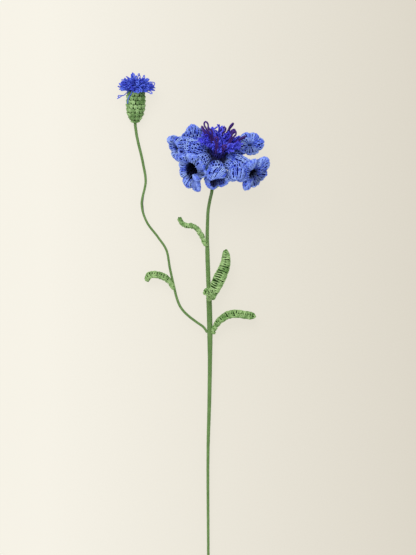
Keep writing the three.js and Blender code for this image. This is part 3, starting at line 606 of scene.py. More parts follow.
floretLook = {
    # where each is rooted round the head, the middle of its mouth and the way that faces in the part's own frame,
    # the way of 0 degrees round the mouth, its two radii, how long its rim is between the lobes, and its lobes as
    # (degrees round, length, how far it leans out at its start and at its end, slant of its stitches, how much
    # painted shade its inner side takes)
    "rows": [
        {"root": 36, "mouth": (37.2, 150.8, 23), "faces": (0.25, 0.1, 0.95),
         "radii": (2.2, 1.8), "notch": 0.55,
         "lobes": [(18, 8.8, 45, 75, 0, 0), (68, 8.2, 30, 70, 0, 0), (120, 8.4, 30, 75, 20, 0),
                   (205, 7.6, 40, 75, 0, 0.3), (285, 5.2, 30, 75, 0, 0.5)]},
        {"root": -9, "lift": 30, "mouth": (38.8, 132.1, 35), "faces": (0.2, -0.42, 0.88),
         "radii": (4.5, 4.4), "notch": 0.3,
         "lobes": [(48, 11.4, 58, 80, 0, 0.1), (98, 9.4, 40, 46, 0, 0), (146, 3.6, 10, 40, 0, 0),
                   (190, 2.6, 5, 20, 0, 0), (238, 8.6, 34, 68, 0, 0), (290, 5.5, 20, 60, 0, 0.7),
                   (338, 5, 30, 60, 0, 0.7)]},
        {"root": -51, "lift": -35, "mouth": (29.0, 133.8, 40), "faces": (-0.05, -0.88, 0.44),
         "radii": (3.7, 2.6), "notch": 0.5, "under": 7,
         "lobes": [(86, 9.4, 30, -25, 0, 0.8), (218, 6.5, 4, 0, 0, 0.8), (322, 7, 14, 0, 0, 0.6)]},
        {"root": -93, "lift": -35, "mouth": (15.5, 133.6, 41), "faces": (0.05, -0.87, 0.47),
         "radii": (4.4, 2.9), "notch": 0.55, "under": 7.5,
         "lobes": [(97, 8.6, 34, -25, -35, 0.9), (240, 11.4, 22, 5, 0, 1), (306, 9.2, 27, 16, 0, 0.6)]},
        {"root": -136, "mouth": (-0.4, 133.9, 40), "faces": (-0.34, -0.3, 0.89),
         "radii": (5.4, 7.2), "notch": 0.15,
         "lobes": [(24, 6, 25, 65, 0, 0.1), (82, 8, 22, 50, -20, 0), (138, 7, 30, 70, 0, 0.3),
                   (162, 4, 30, 60, 0, 0), (193, 3.4, 25, 60, 0, 0), (247, 5.4, 25, 65, 0, 0),
                   (305, 9.8, 35, 60, 0, 0.4), (328, 6.5, 8, -42, 0, 0), (354, 6.5, 40, 80, 0, 0.9)]},
        {"root": 180, "mouth": (-9.4, 149.2, 28), "faces": (-0.9, -0.28, 0.36), "zero": (0, 1, 0),
         "radii": (6.0, 5.0), "notch": 0.3,
         "lobes": [(20, 6, 10, 20, 0, 0), (75, 4.2, 8, 30, 0, 0.1), (125, 4.2, 8, 30, 0, 0.1),
                   (180, 3.6, 8, 20, 0, 0), (238, 2.4, 5, 5, 0, 0.8), (300, 2.4, 5, 5, 0, 0.8)]},
        {"root": 134, "mouth": (0.2, 156.0, 14), "faces": (-0.15, 0.93, -0.1),
         "radii": (5.3, 4.4), "notch": 0.3,
         "lobes": [(5, 5, 8, 40, 0, 0), (60, 5, 8, 40, 0, 0), (120, 5, 8, 40, 0, 0), (175, 3.4, 8, 30, 0, 0),
                   (270, 8.6, 12, -10, 0, 0)]},
        {"root": 85, "mouth": (20.3, 151.6, 8.8), "faces": (0.25, 0.6, -0.75),
         "radii": (4.6, 4.6), "notch": 0.3,
         "lobes": [(angle, 4, 8, 60, 0, 0) for angle in range(0, 360, 60)]},
    ],
    "tube": [(0, 0), (0.15, 0.15), (0.4, 0.55), (0.7, 0.87), (1, 1)],   # along the tube, how far it has opened
    "rootShade": [(0, 1), (2, 0.35), (4.5, 0)],    # how much painted shade a tube takes past the part under the tuft
    "creaseShade": 0.75,     # how dark the painted shade in the creases between lobes is
    "rootOut": 4.95, "rootHeight": 1.2, "rootRadius": 1.4,    # where a tube is sewn on, in the head, and its girth
    "reach": 0.42,          # how far a tube runs straight on at each end, as a share of the way to its mouth
    "edge": 0.5, "puff": 1.7,     # half the thickness of the fabric, and how much fuller a lobe is
    "yarn": 0.42, "stitch": 2.25, "rib": 2.8, "ribWidth": 2.8, "tallRib": 3.8, "ribYarn": 0.38, "chainLink": 2.2,
}
ribStitch = stitchObject("ribStitch", [   # the two strands of a post, with the bar of the next round over it
    [(-0.2, -0.1, 0.2), (-0.17, 0.4, 1.9), (-0.15, 1.0, 0.4)],
    [(0.15, -0.1, 0.2), (0.19, 0.45, 1.7), (0.2, 1.0, 0.4)],
    [(-0.4, 0.9, -0.2), (0.02, 1.0, 2.0), (0.4, 0.9, -0.2)],
])
edgeStitch = stitchObject("edgeStitch", [   # one link of the chain along an edge
    [(-0.15, 0.5, 0.6), (0.35, -0.25, 1.2), (1.15, 0.5, 1.0)],
    [(-0.15, 0.5, 0.6), (0.35, 1.25, 1.2), (1.15, 0.5, 1.0)],
])
closeStitch = stitchObject("closeStitch", [   # a V, with the bar of the next round over it
    [(-0.02, -0.12, 0.2), (-0.3, 0.3, 1.9), (-0.2, 0.9, 0.5)],
    [(0.02, -0.12, 0.2), (0.3, 0.3, 1.9), (0.2, 0.9, 0.5)],
    [(-0.5, 0.94, -0.3), (0.0, 1.0, 1.6), (0.5, 0.94, -0.3)],
])
barStitch = stitchObject("barStitch", [[(0.0, -0.05, 0.6), (0.0, 0.5, 1.2), (0.0, 1.02, 0.6)]])
knotStitch = stitchObject("knotStitch", [   # a plump knot over the stem of its stitch
    [(-0.46, 0.42, 0.2), (-0.05, 0.9, 2.7), (0.46, 0.36, 0.2)],
    [(-0.4, 0.3, 0.1), (0.1, 0.3, 2.0), (0.4, 0.6, 0.2)],
    [(-0.12, -0.1, 0.1), (-0.2, 0.1, 0.9), (-0.1, 0.4, 0.2)],
    [(0.16, -0.1, 0.1), (0.26, 0.1, 0.9), (0.2, 0.4, 0.2)],
])


def headDirection(angle, lift):
    a, b = math.radians(angle), math.radians(lift)
    return np.array([math.cos(b) * math.cos(a), math.cos(b) * math.sin(a), math.sin(b)])


def inHead(angle, out, height):
    return np.array([out * math.cos(math.radians(angle)), out * math.sin(math.radians(angle)), height])


def makeFloret(index, row):
    look, chance = floretLook, random.Random(40 + index)
    rootAt = toWorld(head, inHead(row["root"], look["rootOut"], look["rootHeight"]))
    outFrom = toWorld((0, head[1]), headDirection(row["root"], row.get("lift", 0)))
    mouthAt = np.array(row["mouth"], float)
    facing = unit(np.array(row["faces"], float))
    arm = np.linalg.norm(mouthAt - rootAt) * look["reach"]
    control = [rootAt, rootAt + outFrom * arm, mouthAt - facing * arm, mouthAt]
    tubeRows, perWidth, fine = 16, 12, 24    # rows along a tube, columns across a lobe, steps from mouth to edge
    line = spaced(bezier(control, np.linspace(0, 1, 80)), np.linspace(0, 1, tubeRows))
    tangent, across, upward = stations(line, np.array(row.get("zero", (1, 0, 0)), float))
    tangent[-1] = facing
    shape = smoothLine([(a, b, 0) for a, b in look["tube"]])
    share = np.interp(np.linspace(0, 1, tubeRows), shape[:, 0], shape[:, 1])
    tube = look["rootRadius"] + share[:, None] * (np.array(row["radii"]) - look["rootRadius"])

    # Each lobe reaches halfway to its neighbours: turned counts the lobes, whole at the middle of each.
    lobes = row["lobes"]
    centres = np.radians([lobe[0] for lobe in lobes])
    many = len(lobes)
    around = np.concatenate([centres - 2 * math.pi, centres, centres + 2 * math.pi, centres[:1] + 4 * math.pi])
    halves = (around[1:] + around[:-1]) / 2
    stops = np.sort(np.concatenate([around, halves]))
    columns = many * perWidth + 1
    counted = np.linspace(0, many, columns) + 0.5      # the seam lies between two lobes
    theta = np.interp(counted, np.arange(len(stops)) / 2 - many, stops)
    fromCentre = np.abs(2 * (counted - np.round(counted)))
    scallop = np.clip(1 - fromCentre**2.8, 0, 1) ** 0.45

    def perLobe(k):
        values = [lobe[k] for lobe in lobes]
        return np.interp(counted % many, np.arange(many + 1), values + values[:1])

    cosine, sine = np.cos(theta)[:, None], np.sin(theta)[:, None]
    spoke = cosine * across[-1] + sine * upward[-1]
    rim = cosine * across[-1] * tube[-1, 0] + sine * upward[-1] * tube[-1, 1]
    lobeLength = perLobe(1) * (row["notch"] + (1 - row["notch"]) * scallop)
    curlFrom, curlTo = np.radians(perLobe(2))[None], np.radians(perLobe(3))[None]
    puff = look["puff"] * (0.1 + 0.9 * scallop)
    q = np.linspace(0, 1, fine)
    bend = curlFrom + (curlTo - curlFrom) * q[:, None]
    step = lobeLength[None] / (fine - 1)
    forward = np.cumsum(np.cos(bend) * step, 0) - np.cos(bend[:1]) * step
    sideways = np.cumsum(np.sin(bend) * step, 0) - np.sin(bend[:1]) * step
    mid = mouthAt + facing * forward[..., None] + rim[None] + spoke[None] * sideways[..., None]
    face = spoke[None] * np.cos(bend)[..., None] - facing * np.sin(bend)[..., None]
    plump = np.sqrt(np.clip(np.sin(math.pi * np.clip(q * 0.82 + 0.18, 0, 1)), 0, 1))[:, None]
    half = look["edge"] * np.sqrt(np.clip(1 - q**6, 0, 1))[:, None] \
        + puff[None] * plump * np.clip(q * 3, 0, 1)[:, None]

    def tubeRow(k, side):
        return line[k] + cosine * across[k] * (tube[k, 0] + side * look["edge"]) \
            + sine * upward[k] * (tube[k, 1] + side * look["edge"])

    picks = [0, 3, 6, 9, 12, 14, 16, 18, 20, 21, 22, 23]
    rows = [np.repeat(line[:1] - tangent[0] * 0.2, columns, 0)]
    rows += [tubeRow(k, 1) for k in range(tubeRows)]
    outerMouth = len(rows) - 1
    rows += [mid[k] + face[k] * half[k][:, None] for k in picks[1:]]
    edgeRow = len(rows) - 1
    rows += [mid[k] - face[k] * half[k][:, None] for k in picks[-2:0:-1]]
    innerMouth = len(rows)
    throatEnd = 6      # the inside is closed at this row of the tube
    rows += [tubeRow(k, -1) for k in range(tubeRows - 1, throatEnd, -1)]
    innerEnd = len(rows) - 1
    rows += [np.repeat(line[throatEnd:throatEnd + 1], columns, 0)]
    grid = np.array(rows)
    grid[:, -1] = grid[:, 0]
    grid[..., 2] = np.maximum(grid[..., 2], 1.2 + 0.02 * grid[..., 2])   # what would sink rests on the table
    run = np.concatenate([[0], np.cumsum(np.linalg.norm(np.diff(grid, axis=0), axis=2).mean(1))])
    places = run / run[-1]
    rowAt = np.arange(len(rows))[:, None]
    # Painted shade: the throat, the inner sides of lobes, the creases between lobes and the part of a tube under
    # the tuft are darker.
    deep = np.clip((rowAt - innerMouth + 4) / 6, 0, 1)
    deep = np.maximum(deep, np.clip(rowAt - edgeRow - 1, 0, 1) * perLobe(5) * np.ones(columns))
    crease = look["creaseShade"] * np.clip(fromCentre * 3 - 2, 0, 1)
    deep = np.maximum(deep, crease * np.clip((rowAt - outerMouth) / 3, 0, 1))
    past = run - row.get("under", 3.5)
    deep = np.maximum(deep, np.interp(past, *zip(*look["rootShade"]))[:, None] * (rowAt <= outerMouth))
    surface = surfaceObject(f"floret{index}Surface", grid, places, deep)

    cells = []
    rounds = round((places[outerMouth] - places[1]) * run[-1] / look["stitch"])
    tubeEnds = np.linspace(places[1], places[outerMouth], rounds + 1)
    for a, b in zip(tubeEnds, tubeEnds[1:]):
        radius = np.interp((a + b) / 2, places[1:outerMouth + 1], tube.mean(1))
        cells += roundOf(max(4, round(2 * math.pi * radius / look["stitch"])), a, b, 0.5, chance.random())
    throat = np.linspace(places[innerMouth], places[innerEnd], 4)
    for low, high in zip(throat, throat[1:]):
        cells += roundOf(12, low, high, 0.4, chance.random())
    ribs, chain = [], []
    edge = 0.9 / run[-1]
    for k in range(many):
        at = (k + 1) % many      # the seam lies before the second lobe
        long, slant = lobes[at][1], lobes[at][4]
        for start, stop in ((outerMouth, edgeRow), (edgeRow, innerMouth)):
            tall = look["tallRib"] if slant and start == outerMouth else look["rib"]
            ends = np.linspace(places[start], places[stop], max(1, round(1.15 * long / tall)) + 1)
            for low, high in zip(ends, ends[1:]):
                nearest = np.abs(places - (low + high) / 2).argmin()
                width = lineLength(grid[nearest, perWidth * k:perWidth * (k + 1) + 1])
                ribs += fanOf(max(2, round(width / look["ribWidth"])), k / many, 1 / many, low, high, 0.5,
                              slant if start == outerMouth else 0)
        width = lineLength(grid[edgeRow, perWidth * k:perWidth * (k + 1) + 1])
        links = max(3, round(width / look["chainLink"]))
        chain += [(*cell[:1], places[edgeRow] - edge, cell[2], 2 * edge, 0.3, 0)
                  for cell in fanOf(links, k / many, 1 / many, 0, 1, 0, 0)]
    yarn = {"Surface": surface, "Yarn sides": 5, "Wobble": 0.5 * mm, "Yarn radius": look["yarn"] * mm,
            "Yarn": yarns["floret"], "Backing": backings["blue"], "Backing depth": 0.35 * mm}
    name = f"crochetedFloret{index}"
    piece = grow(name, planMesh("plan", cells), stitchTree, {
        **yarn, "Stitch": closeStitch, "Seed": 10 + index, "Fabric behind": True})
    ribPart = grow(name + "Ribs", planMesh("plan", ribs), stitchTree, {
        **yarn, "Stitch": ribStitch, "Yarn radius": look["ribYarn"] * mm, "Seed": 30 + index})
    edgePart = grow(name + "Edge", planMesh("plan", chain), stitchTree, {
        **yarn, "Stitch": edgeStitch, "Seed": 50 + index})
    keep(joined(piece, ribPart, edgePart), "floret_yarn", f"floret_{index}")


for number, row in enumerate(floretLook["rows"], 1):
    makeFloret(number, row)
print("florets crocheted")

bodyLooks = {
    "flowerCalyx": {
        "at": calyxPlace, "profile": [(0.9, -21.1), (2.0, -21), (3.2, -19.9), (4.6, -17.6), (5.5, -14.5),
                                      (6.0, -10), (6.0, -5.5), (5.5, -1.8), (4.4, -1.2)],
        "rounds": 8, "stitch": 2.9, "kind": knotStitch, "lift": 0.5, "yarn": 0.6, "colours": ("calyx", "green"),
        "slot": "calyx_yarn", "node": "flower_calyx"},
    "budCalyx": {
        "at": bud, "profile": [(0.8, 0.0), (1.6, 0.2), (2.9, 1.5), (4.3, 4.2), (5.2, 7.5), (5.5, 11.5),
                               (5.4, 15.5), (4.9, 19.9), (4.0, 20.5)],
        "rounds": 8, "stitch": 2.9, "kind": knotStitch, "lift": 0.5, "yarn": 0.62, "colours": ("calyx", "green"),
        "slot": "calyx_yarn", "node": "bud_calyx"},
    "flowerCore": {
        "at": head, "profile": [(1.0, -1.9), (3.0, -1.9), (4.0, -0.2), (4.1, 2.8), (4.8, 3.8), (4.2, 4.4),
                                (1.5, 4.5)],
        "rounds": 4, "stitch": 2.4, "kind": closeStitch, "lift": 0.6, "yarn": 0.5, "colours": ("tuft", "royal"),
        # the core takes painted shade all over, standing in for the shade under the tuft
        "shadeShare": 0.9, "slot": "tuft_yarn", "node": "flower_core"},
}


def makeBody(name, look):
    # A stuffed body of rounds worked about the axis of its place.
    profile = smoothLine([(r, 0, z) for r, z in look["profile"]])
    profile = spaced(profile, np.linspace(0, 1, 30))
    columns = 49
    theta = np.linspace(0, 2 * math.pi, columns)
    rings = [np.stack([r * np.cos(theta), r * np.sin(theta), np.full(columns, z)], 1) for r, _, z in profile]
    first, last = profile[0][2], profile[-1][2]
    rings = [np.repeat([[0, 0, first]], columns, 0), *rings, np.repeat([[0, 0, last]], columns, 0)]
    grid = np.array(rings)
    grid[:, -1] = grid[:, 0]
    steps = np.linalg.norm(np.diff(grid[:, 0], axis=0), axis=1)
    run = np.concatenate([[0], np.cumsum(steps)])
    places = run / run[-1]
    surface = surfaceObject(name + "Surface", toWorld(look["at"], grid), places, look.get("shadeShare", 0))
    cells = []
    ends = np.linspace(places[1], places[-2], look["rounds"] + 1)
    for k, (a, b) in enumerate(zip(ends, ends[1:])):
        radius = np.interp((a + b) / 2, places[1:-1], profile[:, 0])
        cells += roundOf(max(5, round(2 * math.pi * radius / look["stitch"])), a, b, look["lift"], 0.5 * k)
    yarn, backing = look["colours"]
    piece = grow(name, planMesh("plan", cells), stitchTree, {
        "Surface": surface, "Stitch": look["kind"], "Yarn radius": look["yarn"] * mm, "Yarn sides": 6,
        "Wobble": 0.3 * mm, "Backing depth": 0.1 * mm, "Fabric behind": True, "Seed": 3, "Yarn": yarns[yarn],
        "Backing": backings[backing]})
    keep(piece, look["slot"], look["node"])
    "calyx" in look["node"]


for name, look in bodyLooks.items():
    makeBody(name, look)
print("calyxes crocheted")

stemLooks = {
    # the line of each, then how far it runs on up the axis of its head, its radius at places along +Y, and how
    # much of the wire is left bare at each end
    "mainStemWinding": {
        "node": "main_stem_wrap",
        "route": [(8.2, -202.5, 1.1), (8.2, -185, 1.5), (8.2, -128, 3.4), (8.0, -60, 5.4), (8.9, -22, 6.6),
                  (9.3, 10, 7.6), (9, 36, 8.5), (8.2, 60, 9.4), (7.5, 84, 10.4), (7.7, 97.5, 11.4),
                  (8.1, 106, 12.6), (9.3, 112.8, 14.6)],
        "above": (calyxPlace, [-26, -21, -10, 1.5]),
        "radii": [(-200, 0.98), (-120, 0.98), (-60, 1.12), (-20, 1.45), (5, 1.6), (16, 1.85), (24, 1.95),
                  (46, 2), (54, 1.6), (78, 1.6), (86, 1.35), (100, 1.2), (122, 1.15)],
        "bare": (2.5, 22.3), "pitch": 0.78, "yarn": 0.44},
    "sideStemWinding": {
        "node": "side_stem_wrap",
        "route": [(7.4, 23.6, 8.4), (5.1, 27, 8.5), (0.6, 30.3, 8.7), (-4.2, 33.9, 8.8), (-8.2, 37.6, 8.7),
                  (-10.8, 41.1, 8.6), (-13.1, 46.8, 8.2), (-15.1, 54.9, 8), (-17.8, 67.2, 7.8),
                  (-20.2, 79.4, 7.6), (-26, 88.2, 7.4), (-33.5, 98.4, 7.2), (-36.9, 110, 7),
                  (-34.2, 125.6, 6.6), (-36.2, 139, 5.8), (-40.2, 156.5, 5.4)],
        "above": (bud, [0, 5, 10]),
        "radii": [(20, 0.9), (40, 0.95), (58, 0.95), (75, 0.88), (110, 0.85), (140, 1), (168, 1.1)],
        "bare": (0, 10), "pitch": 0.7, "yarn": 0.4},
}


def makeStem(name, look):
    place, heights = look["above"]
    route = [np.array(p) + middle for p in look["route"]] + [toWorld(place, (0, 0, h)) for h in heights]
    line = smoothLine(route)
    long = lineLength(line)
    low, high = look["bare"][0] / long, 1 - look["bare"][1] / long
    line = spaced(line, np.linspace(low, high, 160))
    radius = np.interp(line[:, 1] - middle[1], *zip(*look["radii"]))
    piece = grow(name, lineMesh(name + "Line", [line], radius - look["yarn"] * 0.9), windingTree, {
        "Pitch": look["pitch"] * mm, "Strands": 1, "Points a turn": 9.0, "Yarn radius": look["yarn"] * mm,
        "Yarn sides": 5, "Core share": 0.95, "Wobble": 0.12 * mm, "Seed": 2, "Yarn": yarns["stem"],
        "Backing": backings["stem"]})
    keep(piece, "stem_yarn", look["node"])


for name, look in stemLooks.items():
    makeStem(name, look)
print("stems wound")

leafLook = {
    # for each leaf: the way its blade is wide, how far its edges curl up, the line of its midrib from root to tip,
    # its half-width at shares of that line, and the share along which one side may be worked as open bars
    "thick": 1.5, "inset": 0.3,      # the blade, and how far its edge lies inside the chain of yarn round it
    "groove": 0.25, "grooveWidth": 0.8,     # how much thinner it is along its midrib
    "pitch": 1.64, "yarn": 0.37, "bar": 0.42, "edgeWidth": 0.15,
    "rows": {
        "leaf_upper_left": {
            "across": (0.14, 0.16, 1.0), "cup": 0.4,
            "wide": [(0, 0.9), (0.15, 1.4), (0.4, 1.8), (0.75, 1.7), (0.93, 1.3), (1, 1.0)],
            "route": [(6.6, 81.6, 11.6), (5.2, 85.7, 12.2), (3.7, 88.8, 12.6), (1.9, 91.8, 12.9),
                      (0.1, 93.9, 13), (-2.3, 95.4, 13), (-5.4, 95.6, 13), (-8.3, 96.3, 13),
                      (-10.5, 98.7, 12.8), (-12, 101.4, 12.4)]},
        "leaf_upper_right": {
            "across": (1, -0.35, 0.1), "cup": -0.6, "bars": (0.16, 0.58),
            "wide": [(0, 1.1), (0.08, 1.6), (0.19, 3.0), (0.3, 3.8), (0.43, 4.1), (0.57, 3.7), (0.72, 3.2),
                     (0.87, 2.5), (0.96, 1.6), (1, 1.1)],
            "route": [(11.1, 45.4, 9.8), (11.5, 48.4, 10.6), (12.45, 52, 11.6), (13.6, 55.6, 12.2),
                      (15.8, 60.4, 12.8), (18.1, 65.3, 13), (19.7, 70.1, 13), (20.1, 74.9, 12.6),
                      (19.8, 79.7, 12)]},
        "leaf_front": {
            "across": (0.4, 0.9, 0), "cup": 0.5,
            "wide": [(0, 1.1), (0.25, 1.9), (0.6, 2.3), (0.9, 2.2), (1, 1.5)],
            "route": [(8.6, 46.5, 10.6), (8.9, 47, 17), (10, 48.4, 23), (10.8, 50, 27.5), (9.6, 50.9, 30.3),
                      (7, 51.1, 31), (5.3, 50.6, 29.6)]},
        "leaf_lower_right": {
            "across": (-0.15, -0.8, 0.6), "cup": 0.7,
            "wide": [(0, 1.1), (0.12, 1.8), (0.35, 2.6), (0.6, 2.8), (0.85, 2.6), (0.95, 2.1), (1, 1.3)],
            "route": [(11.0, 22.4, 8.6), (12.7, 27.3, 9.4), (15.2, 30.9, 10.2), (18.1, 33.3, 10.6),
                      (21.2, 35.1, 10.8), (24.8, 36, 10.8), (28.4, 36, 10.6), (32.7, 35.4, 10),
                      (36.8, 34.8, 9), (40.2, 34.6, 8)]},
        "leaf_side_stem": {
            "across": (0.1, -0.75, 0.65), "cup": 0.3,
            "wide": [(0, 0.9), (0.12, 1.3), (0.35, 2.2), (0.6, 2.4), (0.85, 2.3), (0.95, 1.9), (1, 1.4)],
            "route": [(-14.9, 52.6, 8.2), (-16.8, 56.2, 8.9), (-18.6, 58.7, 9.3), (-21.1, 60.8, 9.5),
                      (-24.1, 62, 9.5), (-27.1, 62.6, 9.4), (-30.1, 62.7, 9), (-32.4, 61.6, 8.4),
                      (-33.6, 58.4, 7.4)]},
    },
}


def makeLeaf(name, row):
    look = leafLook
    line = smoothLine([np.array(p) + middle for p in row["route"]])
    long = lineLength(line)
    rows = 44
    t = np.linspace(0, 1, rows)
    line = spaced(line, t)
    tangent, across, upward = stations(line, np.array(row["across"], float))
    if upward[:, 2].mean() < 0:      # the first half of its map is the side that lies up
        across, upward = -across, -upward
    wide = np.interp(t, *zip(*row["wide"])) - look["inset"]
    rounded = np.clip(np.minimum(t, 1 - t) * 18, 0.02, 1) ** 0.5
    columns = 33
    angle = np.linspace(0, 2 * math.pi, columns)
    grid = []
    for k in range(rows):
        x = wide[k] * rounded[k] * np.cos(angle)
        z = look["thick"] / 2 * rounded[k] * np.sign(np.sin(angle)) * np.abs(np.sin(angle)) ** 0.8
        z = z * (1 - look["groove"] * np.exp(-(x / look["grooveWidth"]) ** 2)) \
            + row["cup"] * (np.cos(angle) ** 2 - 0.4) * rounded[k]
        grid.append(line[k] + across[k] * x[:, None] + upward[k] * z[:, None])
    grid = np.array([np.repeat(line[:1], columns, 0), *grid, np.repeat(line[-1:], columns, 0)])
    grid[:, -1] = grid[:, 0]
    places = np.concatenate([[0], 0.005 + 0.99 * t, [1]])
    surface = surfaceObject(name + "Surface", grid, places)
    count = round(long / look["pitch"])
    step = 0.94 / count
    close, bars, chain = [], [], []
    for i in range(count):
        v = 0.03 + step * (i + 0.5)
        barred = "bars" in row and row["bars"][0] < v < row["bars"][1]
        for mid, turn in ((0.235, 90), (0.265, -90), (0.765, -90), (0.735, 90)):
            firstSide = not 0.25 < mid < 0.75
            if barred and firstSide:
                bars.append((mid, v, step, 0.2, 0.6, turn))
            else:
                close.append((mid, v, step * 1.15, 0.2, 0.7, turn))
        chain += [(edge + look["edgeWidth"] / 2, 0.02 + step * (i + part), step / 2, look["edgeWidth"], 0.4, 90)
                  for edge in (0.0, 0.5) for part in (0, 0.5)]
    yarn = {"Surface": surface, "Yarn sides": 5, "Wobble": 0.2 * mm, "Backing depth": 0.05 * mm, "Seed": 5,
            "Yarn": yarns["leaf"], "Backing": backings["green"]}
    piece = grow(name + "Crochet", planMesh("plan", close), stitchTree, {
        **yarn, "Stitch": closeStitch, "Yarn radius": look["yarn"] * mm, "Fabric behind": True})
    others = [grow(name + "Edge", planMesh("plan", chain), stitchTree, {
        **yarn, "Stitch": edgeStitch, "Yarn radius": look["yarn"] * 0.9 * mm})]
    if bars:
        others.append(grow(name + "Bars", planMesh("plan", bars), stitchTree, {
            **yarn, "Stitch": barStitch, "Yarn radius": look["bar"] * mm}))
    keep(joined(piece, *others), "leaf_yarn", name)


for name, row in leafLook["rows"].items():
    makeLeaf(name, row)
print("leaves crocheted")

stamenLook = {
    # where each is rooted round the core, its tip as (degrees round, distance out, height) in the head, and how
    # far its loop is turned from lying open upwards
    "rows": [
        {"root": 168, "tip": (180, 12.6, 23.9), "turn": 0}, {"root": 199, "tip": (201, 15, 22.2), "turn": 65},
        {"root": 230, "tip": (221, 11.2, 22.5), "turn": 0}, {"root": 261, "tip": (254, 11.5, 19.7), "turn": 0},
        {"root": 297, "tip": (286, 13.4, 16.2), "turn": 10}, {"root": 112, "tip": (70, 3.5, 21.6), "turn": 0},
        {"root": 78, "tip": (30, 6.4, 25.9), "turn": 70}, {"root": 42, "tip": (345, 7.4, 24), "turn": 30},
        {"root": 8, "tip": (358, 15.5, 20.4), "turn": 75}, {"root": 325, "tip": (323, 10.4, 24.8), "turn": 0},
    ],
    "rootOut": 4.1, "rootHeight": 5.0,    # where a cord is sewn to the core
    "bow": 1.7,     # how far out the middle of a cord bows, to its root
    "apart": 1.2, "loop": 2.5, "loopLength": 5.5, "girth": 0.3, "yarn": 0.37, "pitch": 1.9,
}


def makeStamen(index, row):
    look = stamenLook
    root, tip = inHead(row["root"], look["rootOut"], look["rootHeight"]), inHead(*row["tip"])
    bowed = np.array([root[0] * look["bow"], root[1] * look["bow"], root[2] + 0.4 * (tip[2] - root[2])])
    shaft = bezier([root, bowed, tip], np.linspace(0, 1, 60))
    long = lineLength(shaft)
    end = unit(shaft[-1] - shaft[-2])
    across = unit(np.cross(end, np.array([0, 0, 1.0]) @ head[1]))
    a = math.radians(row["turn"])
    sideways = across * math.cos(a) + np.cross(end, across) * math.sin(a)
    widths = [(long, look["apart"]), (long * 0.7, look["apart"]), (look["loopLength"], look["apart"]),
              (look["loopLength"] * 0.5, look["loop"]), (1, look["loop"] * 0.8)]
    sides = [[spaced(shaft, [1 - back / long])[0] + sideways * side * apart / 2 for back, apart in widths]
             for side in (1, -1)]
    line = smoothLine([*sides[0], tip, *sides[1][::-1]])
    line = spaced(toWorld(head, line), np.linspace(0, 1, 70))
    piece = grow(f"stamenCord{index}", lineMesh("cord", [line], look["girth"]), windingTree, {
        "Pitch": look["pitch"] * mm, "Strands": 2, "Points a turn": 9.0, "Yarn radius": look["yarn"] * mm,
        "Yarn sides": 6, "Core share": 0.8, "Wobble": 0.1 * mm, "Seed": 20 + index, "Yarn": yarns["stamen"],
        "Backing": backings["plum"]})
    keep(piece, "stamen_cord", f"stamen_{index:02d}")


for number, row in enumerate(stamenLook["rows"], 1):
    makeStamen(number, row)
print("stamens folded")

tuftLooks = {
    "centreTuft": {
        "at": head, "base": 4.7, "slot": "tuft_yarn", "node": "centre_tuft", "yarn": "tuft",
        "values": {"Strands": 240, "Points": 14, "Patch radius": 4.8 * mm, "Fan": 0.95, "Front closed": 0.6,
                   "Front shorter": 0.45, "Length": 16.8 * mm, "Edge length": 12.5 * mm, "Loop": 0.0,
                   "Loop width": 1.2 * mm, "Droop": 0.05, "Curl": 7.0 * mm, "Shade spread": 0.9,
                   "Yarn radius": 0.54 * mm, "Yarn sides": 5, "Seed": 7}},
    "budTuft": {
        "at": bud, "base": 20.3, "slot": "bud_tuft_thread", "node": "bud_tuft", "yarn": "budThread",
        "values": {"Strands": 170, "Points": 17, "Patch radius": 4.2 * mm, "Fan": 1.3, "Front closed": 0.0,
                   "Front shorter": 0.0, "Length": 12.2 * mm, "Edge length": 8.6 * mm, "Loop": 1.0,
                   "Loop width": 1.5 * mm, "Droop": 0.12, "Curl": 3.6 * mm, "Shade spread": 0.6,
                   "Yarn radius": 0.36 * mm, "Yarn sides": 5, "Seed": 12}},
}
strayThreads = {    # loose ends of the bud's tuft, drawn in the part's own frame
    "girth": 0.15, "yarn": 0.22, "pitch": 1.4,
    "lines": [
        [(-42.6, 188.6, 12), (-44.6, 187.6, 11), (-47.4, 185.6, 9), (-50.6, 185.7, 8), (-51, 184.9, 7.6),
         (-49.4, 184.6, 7.4)],
        [(-47.9, 185.8, 9), (-49.6, 184.6, 8), (-51.6, 183.6, 7.2)],
        [(-40.7, 190.2, 15.8), (-41.0, 188.8, 15.6), (-41.7, 186.4, 15.3), (-43.3, 184.4, 14.2),
         (-44.1, 182.1, 13.6), (-44.2, 179.8, 13)],
        [(-34.6, 189.2, 11), (-32.6, 188.6, 11.6), (-30.6, 187.6, 11)],
        [(-31.6, 191.6, 13), (-28.6, 191.6, 13), (-26.1, 192.7, 12.4), (-26.3, 194.0, 12.2), (-28.4, 194.4, 12.4),
         (-31.0, 193.6, 13)],
    ],
}


